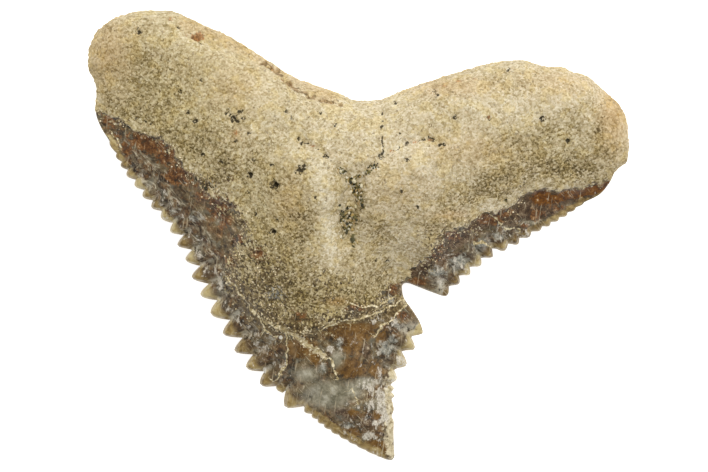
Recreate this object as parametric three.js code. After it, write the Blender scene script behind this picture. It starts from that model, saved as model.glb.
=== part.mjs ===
// Fossil tiger shark tooth, one solid: a thick two-lobed root and a thin serrated crown that grew together.
// It lies on its outer (labial) face with the inner (lingual) face up.
// Millimetres. +Z is up, +Y points from the tip of the crown to the root, +X towards the heel of the crown.
// The origin is on the surface it lies on, under the middle of the tooth's box.
import * as THREE from "three";

// Sizes that drive the rest
const ROOT_PEAK = 6.4; // height of the root's swelling, beside the groove
const LOBE_HEIGHT = 4.3; // height of the root at the ends of its lobes
const CUSP_HEIGHT = 1.9; // height that the inner face falls to at the tip
const ROOT_RIM = 2.6; // height of the root's side wall where it stands out furthest
const TIP_RIM = 0.45; // height of the cutting edge at the tip
const RIM_RISE = 0.1; // rise of the cutting edge for each millimetre towards the root
const ROOT_ROUNDING = 2.2; // how far in the rounding of the root's side walls reaches
const CROWN_REACH = 5.5; // distance from the cutting edge at which the inner face is full height
const OUTER_REACH = 3.0; // the same for the outer face, which is flatter
const EDGE_BODY = { reach: 0.4, half: 0.17 }; // quick thickening behind the cutting edge, on each face
const HOLLOW = 0.32; // height of the outer face above the surface, between its resting places

// Outline of the root, from the top of the front cutting edge, round both lobes, to the top of the heel
const ROOT_EDGE = [
  [-12.95, 5.0], [-13.4, 5.75], [-13.62, 6.5], [-13.55, 7.2], [-13.62, 7.95], [-13.96, 8.7],
  [-13.94, 9.45], [-13.72, 10.2], [-13.25, 10.86], [-12.5, 11.32], [-11.5, 11.58], [-10.4, 11.62],
  [-9.5, 11.53], [-8.2, 11.0], [-6.6, 10.28], [-4.9, 9.2], [-3.3, 8.15], [-2.1, 7.7],
  [-1.0, 7.38], [-0.1, 7.04], [1.2, 7.14], [2.5, 7.65], [4.1, 8.18], [5.8, 8.69],
  [7.4, 9.01], [8.5, 9.06], [9.6, 8.78], [10.5, 8.72], [11.2, 8.46], [11.85, 8.3],
  [12.4, 7.85], [13.3, 7.02], [13.8, 6.25], [13.96, 5.4], [13.98, 4.5], [13.84, 3.85],
  [13.3, 3.38], [13.05, 2.85], [12.55, 2.2], [11.75, 1.78],
];

// Cutting edges, each from its root end towards the cusp: the line that the denticles stand on, the width and
// height of each denticle along it, where across the width the apex is, and how far the valley between two
// denticles is cut in behind the line, as a share of the height
const FRONT = {
  line: [
    [-12.95, 5.0], [-12.22, 3.7], [-11.1, 2.25], [-10.19, 1.17], [-9.16, -0.08], [-8.37, -1.64],
    [-7.52, -3.39], [-6.27, -5.29], [-5.15, -7.0], [-4.43, -7.77], [-4.09, -8.07], [-3.04, -8.81],
    [-2.03, -9.66], [-1.24, -10.25], [0.26, -11.11], [1.2, -11.55],
  ],
  denticles: [
    [0.75, 0.07], [0.5, 0.09], [0.5, 0.12], [0.65, 0.16], [0.65, 0.16], [0.7, 0.19],
    [0.7, 0.2], [0.8, 0.18], [0.8, 0.28], [0.85, 0.39], [0.9, 0.36], [1.0, 0.46],
    [0.95, 0.44], [1.2, 0.46], [1.1, 0.5], [1.0, 0.5], [1.05, 0.46], [1.05, 0.42],
    [0.45, 0.04], [1.3, 0.5], [0.5, 0.12], [0.4, 0.08], [0.4, 0.08], [0.45, 0.07],
    [0.5, 0.06], [0.5, 0.05], [0.5, 0.04], [0.55, 0.03], [0.6, 0.02], [0.3, 0.02],
  ],
  apex: 0.42,
  valley: 0.38,
};
const HEEL = {
  line: [
    [11.75, 1.78], [10.87, 1.22], [10.0, 0.72], [9.01, 0.22], [7.82, -0.41],
    [7.0, -0.66], [6.43, -1.14], [5.29, -2.06], [4.71, -2.62],
  ],
  denticles: [
    [0.5, 0.05], [0.5, 0.07], [0.5, 0.1], [0.5, 0.1], [0.5, 0.12], [0.6, 0.12],
    [0.7, 0.16], [0.65, 0.2], [0.85, 0.24], [0.75, 0.31], [0.75, 0.24], [0.7, 0.25], [0.8, 0.25],
  ],
  apex: 0.42,
  valley: 0.15,
};
const BACK = {
  line: [[2.79, -5.2], [2.33, -6.0], [1.9, -6.98], [1.7, -7.75], [1.74, -8.12], [1.74, -8.5]],
  denticles: [[0.92, 0.43], [1.05, 0.44], [0.8, 0.22], [0.4, 0.15], [0.38, 0.13]],
  apex: 0.58,
  valley: 0.15,
};

// The smooth stretches of the crown: the notch between heel and cusp, and the cusp down to its tip
const NOTCH = [
  [4.71, -2.62], [4.68, -2.98], [4.45, -3.11], [3.76, -2.88], [3.04, -2.6], [2.55, -2.43],
  [2.3, -2.52], [2.28, -2.8], [2.4, -3.25], [2.85, -3.88], [3.2, -4.45], [3.36, -4.95],
  [3.26, -5.1], [2.79, -5.2],
];
const CUSP_BACK = [[1.74, -8.5], [1.85, -9.0], [1.75, -9.4], [1.85, -9.65], [1.84, -10.3], [1.88, -11.3]];
const TIP = [[1.88, -11.3], [1.88, -11.52], [1.74, -11.68], [1.48, -11.66], [1.2, -11.55]];

// Groove down the middle of the root's swelling. It is deepest from one y to the other and fades out both ways.
const GROOVE = { top: [-0.3, 4.0], bottom: [-0.7, -1.2], depth: 0.95, halfWidth: 0.62, deepest: [1.0, 1.8] };
const SWELLING = { middle: [-0.7, 3.0], reach: [8.2, 5.2] };
const ARCH_HOLLOW = { middle: [0.5, 5.2], reach: [3.4, 1.7], depth: 0.55 };

// Lower edge of the root on the inner face, where it ends as a low ledge above the enamel
const LEDGE_DROP = 0.2;
const LEDGE = [
  [-13.6, 6.4], [-11.6, 5.6], [-9.8, 4.6], [-8.2, 2.7], [-6.6, 1.7], [-6.1, -0.1], [-6.8, -2.1],
  [-5.8, -3.5], [-4.4, -4.4], [-3.2, -5.2], [-1.5, -6.0], [-1.0, -4.7], [0.2, -4.3], [1.7, -3.6],
  [2.5, -2.5], [3.1, -1.1], [4.5, 0.0], [5.8, 0.7], [6.9, 1.3], [8.5, 2.1], [10.9, 2.3], [13.2, 3.1],
];

// Shallow creases: the fork above the groove, the crack between its arms, and the ledge along the front lobe
const CREASES = [
  { line: [[-3.0, 5.0], [-1.6, 4.2], [-0.6, 2.9]], depth: 0.22 },
  { line: [[4.2, 4.6], [3.3, 5.0], [2.3, 4.7], [0.0, 2.6]], depth: 0.2 },
  { line: [[1.2, 6.6], [1.3, 3.9]], depth: 0.16 },
  { line: [[-9.2, 10.5], [-6.1, 9.6], [-4.1, 8.4], [-2.7, 7.2], [-1.0, 6.8]], depth: 0.26 },
];
const CREASE_WIDTH = 0.28;

// Larger pores in the root: where, radius and depth
const PORES = [
  [-4.35, 2.6, 0.34, 0.45], [-4.4, 0.2, 0.28, 0.35], [-9.2, 7.5, 0.27, 0.35], [-8.35, 10.3, 0.42, 0.35],
  [-6.4, 6.1, 0.36, 0.35], [-5.6, 3.0, 0.25, 0.3], [-11.3, 10.5, 0.24, 0.3], [-3.0, 3.4, 0.25, 0.3],
  [9.4, 6.0, 0.28, 0.3],
];

// Flat resting places on the outer face: under both lobes and under the blade of the cusp
const RESTS = [
  { middle: [-10.6, 7.6], radius: 2.6, depth: 0.75 },
  { middle: [10.3, 5.2], radius: 2.6, depth: 0.75 },
  { middle: [-1.9, -5.6], radius: 3.0, depth: 1.1 },
];

// Sizes of the facets
const EDGE_STEP = 0.45; // along the root's wall
const FINE_STEP = 0.25; // along the crown's smooth edges
const CREASE_STEP = 0.45; // along the creases
const GRID_STEP = 0.62; // across the faces
const EDGE_CLEARANCE = 0.3; // no place on the faces is nearer to the outline than this
const ROOT_RINGS = [0.42, 0.95]; // distances of the rows of places that follow the root's wall

const mix = (a, b, share) => a + (b - a) * share;
const clamp = THREE.MathUtils.clamp;
const smooth = (value, low, high) => THREE.MathUtils.smoothstep(value, low, high);
const spline = (points) => new THREE.SplineCurve(points.map((p) => new THREE.Vector2(...p)));

// Evenly spaced points along a spline
function smoothStretch(points, step) {
  const curve = spline(points);
  return curve.getSpacedPoints(Math.ceil(curve.getLength() / step));
}

// Outline of one denticle: how far along its width, and share of its height, up one flank and down the other
const denticleProfile = ({ apex, valley }) => [
  [0.04, -valley],
  [apex * 0.5, 0.67],
  [apex * 0.92, 1.09],
  [mix(apex, 1, 0.3), 0.84],
  [mix(apex, 1, 0.7), 0.25],
];

// A row of denticles that stand on a line
function serratedStretch(edge, outwards) {
  const { line, denticles } = edge;
  const curve = spline(line);
  const total = denticles.reduce((sum, [width]) => sum + width, 0);
  const points = [];
  let start = 0;
  for (const [width, height] of denticles) {
    for (const [along, rise] of denticleProfile(edge)) {
      const share = (start + along * width) / total;
      const foot = curve.getPointAt(share);
      const tangent = curve.getTangentAt(share);
      const normal = new THREE.Vector2(-tangent.y, tangent.x).multiplyScalar(outwards);
      points.push(foot.addScaledVector(normal, rise * height));
    }
    start += width;
  }
  points.push(curve.getPointAt(1));
  return points;
}

// The whole outline as stretches, in one direction: root, heel, notch, back of the cusp, tip, front edge
const rootEdge = smoothStretch(ROOT_EDGE, EDGE_STEP);
const backEdge = [
  ...serratedStretch(HEEL, 1),
  ...smoothStretch(NOTCH, FINE_STEP).slice(1),
  ...serratedStretch(BACK, 1).slice(1),
  ...smoothStretch(CUSP_BACK, FINE_STEP).slice(1),
];
const frontEdge = [...smoothStretch(TIP, FINE_STEP), ...serratedStretch(FRONT, -1).reverse().slice(1)];
const outline = [...rootEdge, ...backEdge.slice(1), ...frontEdge.slice(1, -1)];

// Nearest place on a polyline, and how far away it is
function nearest(line, x, y) {
  let best = { distance: Infinity, x: 0, y: 0 };
  for (let i = 0; i + 1 < line.length; i++) {
    const [a, b] = [line[i], line[i + 1]];
    const [dx, dy] = [b.x - a.x, b.y - a.y];
    const part = clamp(((x - a.x) * dx + (y - a.y) * dy) / (dx * dx + dy * dy), 0, 1);
    const [px, py] = [a.x + part * dx, a.y + part * dy];
    const distance = Math.hypot(x - px, y - py);
    if (distance < best.distance) best = { distance, x: px, y: py };
  }
  return best;
}

// Distance from the crown's two cutting edges as one smooth value, so that no ridge runs down the blade
function crownDepth(x, y) {
  const front = nearest(frontEdge, x, y).distance;
  const back = nearest(backEdge, x, y).distance;
  return 1 / Math.hypot(1 / front, 1 / back);
}

// Whether a place lies inside a ring of points
const isWithin = (ring, x, y) =>
  ring.reduce((inside, a, i) => {
    const b = ring[(i + 1) % ring.length];
    const crosses = a.y > y !== b.y > y && x < ((b.x - a.x) * (y - a.y)) / (b.y - a.y) + a.x;
    return crosses ? !inside : inside;
  }, false);

// A round hill of height 1
function hill(x, y, middle, reach) {
  const [rx, ry] = Array.isArray(reach) ? reach : [reach, reach];
  return Math.exp(-(((x - middle[0]) / rx) ** 2) - ((y - middle[1]) / ry) ** 2);
}

// Height of the line where the inner and outer faces meet
function rimHeight(y, crown) {
  const cutting = TIP_RIM + RIM_RISE * (y - TIP[2][1]);
  return mix(cutting, ROOT_RIM, smooth(crown, 0, 3));
}

// Height that the inner face tends to, away from the edges
const grooveLine = [new THREE.Vector2(...GROOVE.top), new THREE.Vector2(...GROOVE.bottom)];
function innerHeight(x, y) {
  const lobes = mix(CUSP_HEIGHT, LOBE_HEIGHT, smooth(y, -13, 0));
  const swelling = (ROOT_PEAK - LOBE_HEIGHT) * hill(x, y, SWELLING.middle, SWELLING.reach);
  const fromGroove = nearest(grooveLine, x, y).distance;
  const [from, to] = GROOVE.deepest;
  const fading = smooth(y, GROOVE.bottom[1] - 1, from) * (1 - smooth(y, to, GROOVE.top[1] + 0.4));
  const groove = GROOVE.depth * fading * Math.exp(-((fromGroove / GROOVE.halfWidth) ** 2));
  const hollow = ARCH_HOLLOW.depth * hill(x, y, ARCH_HOLLOW.middle, ARCH_HOLLOW.reach);
  const waves = 0.09 * Math.sin(1.1 * x + 0.7 * y) * Math.sin(0.9 * y - 0.4 * x + 1);
  return lobes + swelling - groove - hollow + waves;
}

// How far the inner face is sunk by the ledge, the creases and the pores
const ledgeLine = spline(LEDGE).getPoints(120);
const enamelSide = [...ledgeLine, new THREE.Vector2(20, -20), new THREE.Vector2(-20, -20)];
const creaseLines = CREASES.map(({ line, depth }) => ({ points: smoothStretch(line, CREASE_STEP), depth }));
function sunkBy(x, y) {
  const fromLedge = nearest(ledgeLine, x, y).distance * (isWithin(enamelSide, x, y) ? 1 : -1);
  const ledge = LEDGE_DROP * smooth(fromLedge, -0.25, 0.35) * (1 - smooth(fromLedge, 0.6, 3));
  const creases = creaseLines.reduce((deepest, { points, depth }) => {
    const away = nearest(points, x, y).distance / CREASE_WIDTH;
    return Math.max(deepest, depth * Math.exp(-away * away));
  }, 0);
  const pores = PORES.reduce((deepest, [px, py, radius, depth]) => {
    return Math.max(deepest, depth * (1 - smooth(Math.hypot(x - px, y - py), 0, radius * 0.95)));
  }, 0);
  return ledge + Math.max(creases, pores);
}

// Height that the outer face tends to: hollow between the three places it rests on
function outerHeight(x, y) {
  return RESTS.reduce((z, rest) => z - rest.depth * hill(x, y, rest.middle, rest.radius), HOLLOW);
}

// Both faces over one place of the outline's plan. Near the root's wall the place itself moves outwards,
// so that the wall rounds over with even facets.
function facesAt(x, y) {
  const root = nearest(rootEdge, x, y);
  const crown = crownDepth(x, y);
  const turn = Math.min(root.distance / ROOT_ROUNDING, 1) * (Math.PI / 2);
  const pulled = root.distance - Math.min(root.distance, ROOT_ROUNDING * (1 - Math.cos(turn)));
  const pull = root.distance > 0 && turn < Math.PI / 2 ? (pulled * smooth(crown, 0, 2)) / root.distance : 0;
  const wall = Math.sin(turn);
  const inwards = clamp(crown / CROWN_REACH, 0, 1);
  const outerIn = clamp(crown / OUTER_REACH, 0, 1);
  const innerRamp = wall * mix(inwards, smooth(inwards, 0, 1), 0.5);
  const outerRamp = wall * (1 - (1 - outerIn) ** 1.8);
  const rim = rimHeight(y, crown);
  const behindEdge = 1 - clamp(crown / EDGE_BODY.reach, 0, 1);
  const body = EDGE_BODY.half * Math.sqrt(1 - behindEdge * behindEdge) * (1 - inwards);
  return {
    x: x + (root.x - x) * pull,
    y: y + (root.y - y) * pull,
    inner: mix(rim, innerHeight(x, y), innerRamp) + body * wall - sunkBy(x, y) * smooth(innerRamp, 0, 0.3),
    outer: Math.max(0, mix(rim, outerHeight(x, y), outerRamp) - body * wall),
  };
}

const isInside = (x, y) => isWithin(outline, x, y);

// Places that a crease or a pore needs: its middle line or point, and its two sides or its mouth
function detailPlaces() {
  const places = [];
  for (const { line } of CREASES) {
    const points = smoothStretch(line, CREASE_STEP);
    points.forEach((point, i) => {
      const along = points[Math.min(i + 1, points.length - 1)].clone().sub(points[Math.max(i - 1, 0)]);
      const side = new THREE.Vector2(-along.y, along.x).setLength(1.5 * CREASE_WIDTH);
      places.push(point, point.clone().add(side), point.clone().sub(side));
    });
  }
  for (const [x, y, radius] of PORES) {
    places.push(new THREE.Vector2(x, y));
    for (let turn = 0; turn < 2 * Math.PI - 0.01; turn += Math.PI / 3) {
      places.push(new THREE.Vector2(x + radius * Math.cos(turn), y + radius * Math.sin(turn)));
    }
  }
  return places;
}

// Places inside the outline: the details, rings along the root's wall, then a triangular grid
function innerPlaces() {
  const closed = [...outline, outline[0]];
  const places = [];
  const addIfClear = (place, fromEdge, fromOthers) => {
    if (!isInside(place.x, place.y) || nearest(closed, place.x, place.y).distance < fromEdge) return;
    if (places.every((other) => other.distanceTo(place) > fromOthers)) places.push(place);
  };
  for (const place of detailPlaces()) addIfClear(place, EDGE_CLEARANCE, 0.16);
  for (const inset of ROOT_RINGS) {
    for (let i = 1; i + 1 < rootEdge.length; i++) {
      const along = rootEdge[i + 1].clone().sub(rootEdge[i - 1]).normalize();
      const place = rootEdge[i].clone().add(new THREE.Vector2(along.y, -along.x).multiplyScalar(inset));
      addIfClear(place, 0.9 * inset, 0.5 * inset);
    }
  }
  const rowStep = GRID_STEP * Math.sqrt(0.75);
  const rootClearance = ROOT_RINGS.at(-1) + 0.7 * GRID_STEP;
  for (let row = 0, y = -12; y < 12; row++, y += rowStep) {
    for (let x = -14 + (row % 2) * (GRID_STEP / 2); x < 14; x += GRID_STEP) {
      if (nearest(rootEdge, x, y).distance > rootClearance || crownDepth(x, y) < 0.8) {
        addIfClear(new THREE.Vector2(x, y), EDGE_CLEARANCE, 0.5 * GRID_STEP);
      }
    }
  }
  return places;
}

// Delaunay triangulation of flat points: each new point replaces the triangles whose circumcircles hold it
function triangulate(points) {
  const count = points.length;
  const all = [...points, { x: -900, y: -700 }, { x: 900, y: -700 }, { x: 0, y: 900 }];
  const circled = (a, b, c) => {
    const [p, q, r] = [all[a], all[b], all[c]];
    const [bx, by, cx, cy] = [q.x - p.x, q.y - p.y, r.x - p.x, r.y - p.y];
    const twice = 2 * (bx * cy - by * cx);
    const [b2, c2] = [bx * bx + by * by, cx * cx + cy * cy];
    const [ux, uy] = [(cy * b2 - by * c2) / twice, (bx * c2 - cx * b2) / twice];
    return { corners: [a, b, c], x: p.x + ux, y: p.y + uy, square: ux * ux + uy * uy };
  };
  let triangles = [circled(count, count + 1, count + 2)];
  points.forEach((point, index) => {
    const edges = new Map();
    const kept = [];
    for (const triangle of triangles) {
      const away = (point.x - triangle.x) ** 2 + (point.y - triangle.y) ** 2;
      if (away >= triangle.square) {
        kept.push(triangle);
        continue;
      }
      const [a, b, c] = triangle.corners;
      for (const [from, to] of [[a, b], [b, c], [c, a]]) {
        if (!edges.delete(`${to},${from}`)) edges.set(`${from},${to}`, [from, to]);
      }
    }
    for (const [from, to] of edges.values()) kept.push(circled(from, to, index));
    triangles = kept;
  });
  return triangles.map((triangle) => triangle.corners).filter((corners) => Math.max(...corners) < count);
}

// Triangles over the whole plan. An edge of the outline that they cut across is halved, and a triangle that
// touches nothing but the outline gets a place of its own, so that the tip of each denticle has a body.
function planTriangles() {
  let rim = outline;
  const inner = innerPlaces();
  for (;;) {
    const places = [...rim, ...inner];
    const inPlan = ([a, b, c]) => {
      const [p, q, r] = [places[a], places[b], places[c]];
      return isInside((p.x + q.x + r.x) / 3, (p.y + q.y + r.y) / 3);
    };
    const triangles = triangulate(places).filter(inPlan);
    const edges = new Set(triangles.flatMap(([a, b, c]) => [`${a},${b}`, `${b},${c}`, `${c},${a}`]));
    const halved = rim.flatMap((point, i) => {
      const next = (i + 1) % rim.length;
      if (edges.has(`${i},${next}`) || edges.has(`${next},${i}`)) return [point];
      return [point, point.clone().lerp(rim[next], 0.5)];
    });
    const flat = triangles.filter((corners) => Math.max(...corners) < rim.length);
    if (halved.length === rim.length && flat.length === 0) return { rimCount: rim.length, places, triangles };
    for (const [a, b, c] of flat) {
      inner.push(rim[a].clone().add(rim[b]).add(rim[c]).divideScalar(3));
    }
    rim = halved;
  }
}

// The closed solid: the same triangles on the inner and the outer face, joined along the outline they share
function toothGeometry() {
  const { rimCount, places, triangles } = planTriangles();
  const faces = places.map((place) => facesAt(place.x, place.y));
  const centre = (key) => {
    const values = faces.map((face) => face[key]);
    return (Math.min(...values) + Math.max(...values)) / 2;
  };
  const middle = { x: centre("x"), y: centre("y") };
  const positions = [];
  for (const { x, y, inner } of faces) positions.push(x - middle.x, y - middle.y, inner);
  for (const { x, y, outer } of faces.slice(rimCount)) positions.push(x - middle.x, y - middle.y, outer);
  const below = (i) => (i < rimCount ? i : i + faces.length - rimCount);
  const index = [];
  for (const [a, b, c] of triangles) index.push(a, b, c, below(a), below(c), below(b));
  const geometry = new THREE.BufferGeometry();
  geometry.setAttribute("position", new THREE.Float32BufferAttribute(positions, 3));
  geometry.setIndex(index);
  geometry.computeVertexNormals();
  return geometry;
}

// Buff fossil bone: the root's colour, which covers most of the tooth
const fossil = new THREE.MeshStandardMaterial({ color: 0xc9b083, roughness: 0.85, metalness: 0 });

const tooth = new THREE.Mesh(toothGeometry(), fossil);
tooth.name = "tooth";

const specimen = new THREE.Group();
specimen.add(tooth);

export default specimen;
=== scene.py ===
# %% [markdown]
# # A fossil tiger shark tooth
#
# The tooth is one natural piece: a thick, sandy root of fossil bone that carries a thin blade of
# brown enamel with a saw edge. It lies on its outer face, and we look straight down on the inner
# face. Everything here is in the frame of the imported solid: metres in Blender, +Z up, +Y from
# the tip of the blade to the root. The shape itself is written in millimetres, because that is
# how one measures a tooth, and is scaled when it becomes a mesh.

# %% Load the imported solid
import math
from collections import namedtuple

import bpy
import numpy as np
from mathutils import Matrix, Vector, noise
from mathutils.geometry import delaunay_2d_cdt


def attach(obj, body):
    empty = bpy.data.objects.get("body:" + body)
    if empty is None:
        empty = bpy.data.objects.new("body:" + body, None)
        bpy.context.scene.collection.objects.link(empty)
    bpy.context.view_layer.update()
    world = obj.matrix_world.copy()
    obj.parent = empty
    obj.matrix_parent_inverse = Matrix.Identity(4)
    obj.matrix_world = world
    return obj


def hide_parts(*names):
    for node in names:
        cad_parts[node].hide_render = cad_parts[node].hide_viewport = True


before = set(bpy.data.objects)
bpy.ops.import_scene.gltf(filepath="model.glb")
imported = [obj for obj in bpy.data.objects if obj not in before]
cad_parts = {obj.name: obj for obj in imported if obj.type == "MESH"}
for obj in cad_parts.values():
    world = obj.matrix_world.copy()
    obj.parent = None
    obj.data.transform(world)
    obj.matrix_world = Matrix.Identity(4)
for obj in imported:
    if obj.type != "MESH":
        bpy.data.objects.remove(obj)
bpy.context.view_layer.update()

MM = 0.001

# %% [markdown]
# ## Camera
#
# A specimen like this is photographed from straight above with a long lens, so that the outline
# has no perspective. The camera looks down -Z with +Y at the top of the picture. Its distance
# follows from the lens and from how many millimetres the picture has to be wide.

# %% Camera
PICTURE_WIDTH = 36.78  # millimetres across the picture, at the height of the tooth's edge
PICTURE_MIDDLE = (-0.23, 0.05)
LENS = 250.0
SENSOR = 36.0
EDGE_LEVEL = 1.8  # height of that edge over the floor


def into_scene(name, data):
    """A new object with the given data, linked to the scene."""
    made = bpy.data.objects.new(name, data)
    bpy.context.scene.collection.objects.link(made)
    return made


camera_data = bpy.data.cameras.new("camera")
camera_data.lens = LENS
camera_data.sensor_width = SENSOR
camera_data.clip_start = 0.01
camera_data.clip_end = 5.0
camera = into_scene("camera", camera_data)
camera_height = PICTURE_WIDTH * LENS / SENSOR + EDGE_LEVEL
camera.location = (PICTURE_MIDDLE[0] * MM, PICTURE_MIDDLE[1] * MM, camera_height * MM)
bpy.context.scene.camera = camera
print("camera height, mm:", round(camera_height, 1))

# %% [markdown]
# ## Floor and light
#
# The tooth lies on a plain white floor in a tent of soft light. A floor that glows a little
# itself, like a light table, keeps the paper white and shadowless right up to the saw edge. One
# large soft lamp from the upper left makes the swelling of the root read.

# %% Floor and light
view = bpy.context.scene.view_settings
view.view_transform = "Standard"
view.look = "None"
view.exposure = 0.0

world = bpy.data.worlds.new("light tent")
world.use_nodes = True
world.node_tree.nodes["Background"].inputs["Color"].default_value = (1.0, 0.985, 0.96, 1.0)
world.node_tree.nodes["Background"].inputs["Strength"].default_value = 0.47
bpy.context.scene.world = world


def soft_lamp(name, place, size, watts, colour):
    """A square lamp of the given size in metres, turned towards the tooth."""
    data = bpy.data.lights.new(name, "AREA")
    data.shape = "SQUARE"
    data.size = size
    data.energy = watts
    data.color = colour
    lamp = into_scene(name, data)
    lamp.location = place
    lamp.rotation_euler = (-Vector(place)).to_track_quat("-Z", "Y").to_euler()


soft_lamp("softbox", (0.0, 0.24, 0.40), 0.20, 1.7, (1.0, 0.99, 0.965))
soft_lamp("fill", (0.30, -0.06, 0.36), 0.26, 0.5, (0.97, 0.985, 1.0))

floor_mesh = bpy.data.meshes.new("floor")
HALF_FLOOR = 0.5
floor_mesh.from_pydata(
    [(-HALF_FLOOR, -HALF_FLOOR, 0), (HALF_FLOOR, -HALF_FLOOR, 0), (HALF_FLOOR, HALF_FLOOR, 0),
     (-HALF_FLOOR, HALF_FLOOR, 0)], [], [(0, 1, 2, 3)])
floor = into_scene("floor", floor_mesh)
paper = bpy.data.materials.new("white paper")
paper.use_nodes = True
paper_shader = paper.node_tree.nodes["Principled BSDF"]
paper_shader.inputs["Base Color"].default_value = (0.86, 0.86, 0.85, 1.0)
paper_shader.inputs["Roughness"].default_value = 0.9
paper_shader.inputs["Emission Color"].default_value = (1.0, 1.0, 1.0, 1.0)
paper_shader.inputs["Emission Strength"].default_value = 0.8
floor_mesh.materials.append(paper)
print("floor:", 2 * HALF_FLOOR, "m wide")

# %% [markdown]
# ## The outline
#
# Seen from above, the tooth is one closed line. The root's part of it is a smooth curve. Each
# cutting edge is a line with denticles standing on it: small fins that lean towards the blade's
# tip, up to half a millimetre high in the middle of the edge and fading at both ends. So an edge
# is made from the line that the denticles stand on, and the width and height of each denticle.
# The points below are the same as in the solid; here each denticle just gets more of them.

# %% Curves through points
def catmull(points, per_span=24):
    """A dense polyline through the points, curved as a Catmull-Rom spline."""
    points = np.array(points, float)
    t = np.linspace(0, 1, per_span, endpoint=False)[:, None]
    runs = []
    for i in range(len(points) - 1):
        before, start = points[max(i - 1, 0)], points[i]
        end, after = points[i + 1], points[min(i + 2, len(points) - 1)]
        leave, arrive = (end - before) / 2, (after - start) / 2
        runs.append((2 * start - 2 * end + leave + arrive) * t**3
                    + (3 * end - 3 * start - 2 * leave - arrive) * t**2 + leave * t + start)
    return np.vstack(runs + [points[-1:]])


def lengths_along(line):
    """How far along the polyline each of its points is."""
    return np.concatenate([[0], np.cumsum(np.linalg.norm(np.diff(line, axis=0), axis=1))])


def places_at(line, distances):
    """The points of a polyline at the given distances along it."""
    along = lengths_along(line)
    return np.stack([np.interp(distances, along, line[:, axis]) for axis in (0, 1)], axis=1)


def even(points, step):
    """Evenly spaced points along the curve through the given points."""
    line = catmull(points)
    total = lengths_along(line)[-1]
    return places_at(line, np.linspace(0, total, math.ceil(total / step) + 1))


corner = even([(0, 0), (1, 0), (1, 1)], 0.1)
print("round a corner of 1 mm and 1 mm the curve is", round(lengths_along(corner)[-1], 2), "mm")

# %% The lines of the tooth
ROOT_EDGE = [
    (-12.95, 5.0), (-13.4, 5.75), (-13.62, 6.5), (-13.55, 7.2), (-13.62, 7.95), (-13.96, 8.7),
    (-13.94, 9.45), (-13.72, 10.2), (-13.25, 10.86), (-12.5, 11.32), (-11.5, 11.58),
    (-10.4, 11.62), (-9.5, 11.53), (-8.2, 11.0), (-6.6, 10.28), (-4.9, 9.2), (-3.3, 8.15),
    (-2.1, 7.7), (-1.0, 7.38), (-0.1, 7.04), (1.2, 7.14), (2.5, 7.65), (4.1, 8.18), (5.8, 8.69),
    (7.4, 9.01), (8.5, 9.06), (9.6, 8.78), (10.5, 8.72), (11.2, 8.46), (11.85, 8.3),
    (12.4, 7.85), (13.3, 7.02), (13.8, 6.25), (13.96, 5.4), (13.98, 4.5), (13.84, 3.85),
    (13.3, 3.38), (13.05, 2.85), (12.55, 2.2), (11.75, 1.78)]
FRONT_LINE = [
    (-12.95, 5.0), (-12.22, 3.7), (-11.1, 2.25), (-10.19, 1.17), (-9.16, -0.08), (-8.37, -1.64),
    (-7.52, -3.39), (-6.27, -5.29), (-5.15, -7.0), (-4.43, -7.77), (-4.09, -8.07),
    (-3.04, -8.81), (-2.03, -9.66), (-1.24, -10.25), (0.26, -11.11), (1.2, -11.55)]
FRONT_DENTICLES = [
    (0.75, 0.07), (0.5, 0.09), (0.5, 0.12), (0.65, 0.16), (0.65, 0.16), (0.7, 0.19), (0.7, 0.2),
    (0.8, 0.18), (0.8, 0.28), (0.85, 0.39), (0.9, 0.36), (1.0, 0.46), (0.95, 0.44), (1.2, 0.46),
    (1.1, 0.5), (1.0, 0.5), (1.05, 0.46), (1.05, 0.42), (0.45, 0.04), (1.3, 0.5), (0.5, 0.12),
    (0.4, 0.08), (0.4, 0.08), (0.45, 0.07), (0.5, 0.06), (0.5, 0.05), (0.5, 0.04), (0.55, 0.03),
    (0.6, 0.02), (0.3, 0.02)]
HEEL_LINE = [
    (11.75, 1.78), (10.87, 1.22), (10.0, 0.72), (9.01, 0.22), (7.82, -0.41), (7.0, -0.66),
    (6.43, -1.14), (5.29, -2.06), (4.71, -2.62)]
HEEL_DENTICLES = [
    (0.5, 0.05), (0.5, 0.07), (0.5, 0.1), (0.5, 0.1), (0.5, 0.12), (0.6, 0.12), (0.7, 0.16),
    (0.65, 0.2), (0.85, 0.24), (0.75, 0.31), (0.75, 0.24), (0.7, 0.25), (0.8, 0.25)]
BACK_LINE = [(2.79, -5.2), (2.33, -6.0), (1.9, -6.98), (1.7, -7.75), (1.74, -8.12), (1.74, -8.5)]
BACK_DENTICLES = [(0.92, 0.43), (1.05, 0.44), (0.8, 0.22), (0.4, 0.15), (0.38, 0.13)]
NOTCH = [
    (4.71, -2.62), (4.68, -2.98), (4.45, -3.11), (3.76, -2.88), (3.04, -2.6), (2.55, -2.43),
    (2.3, -2.52), (2.28, -2.8), (2.4, -3.25), (2.85, -3.88), (3.2, -4.45), (3.36, -4.95),
    (3.26, -5.1), (2.79, -5.2)]
CUSP_BACK = [
    (1.74, -8.5), (1.85, -9.0), (1.75, -9.4), (1.85, -9.65), (1.84, -10.3), (1.88, -11.3)]
TIP = [(1.88, -11.3), (1.88, -11.52), (1.74, -11.68), (1.48, -11.66), (1.2, -11.55)]
print("denticles:", len(FRONT_DENTICLES) + len(HEEL_DENTICLES) + len(BACK_DENTICLES))

# %% Stand the denticles on their lines
POINTS_PER_DENTICLE = 12


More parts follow.
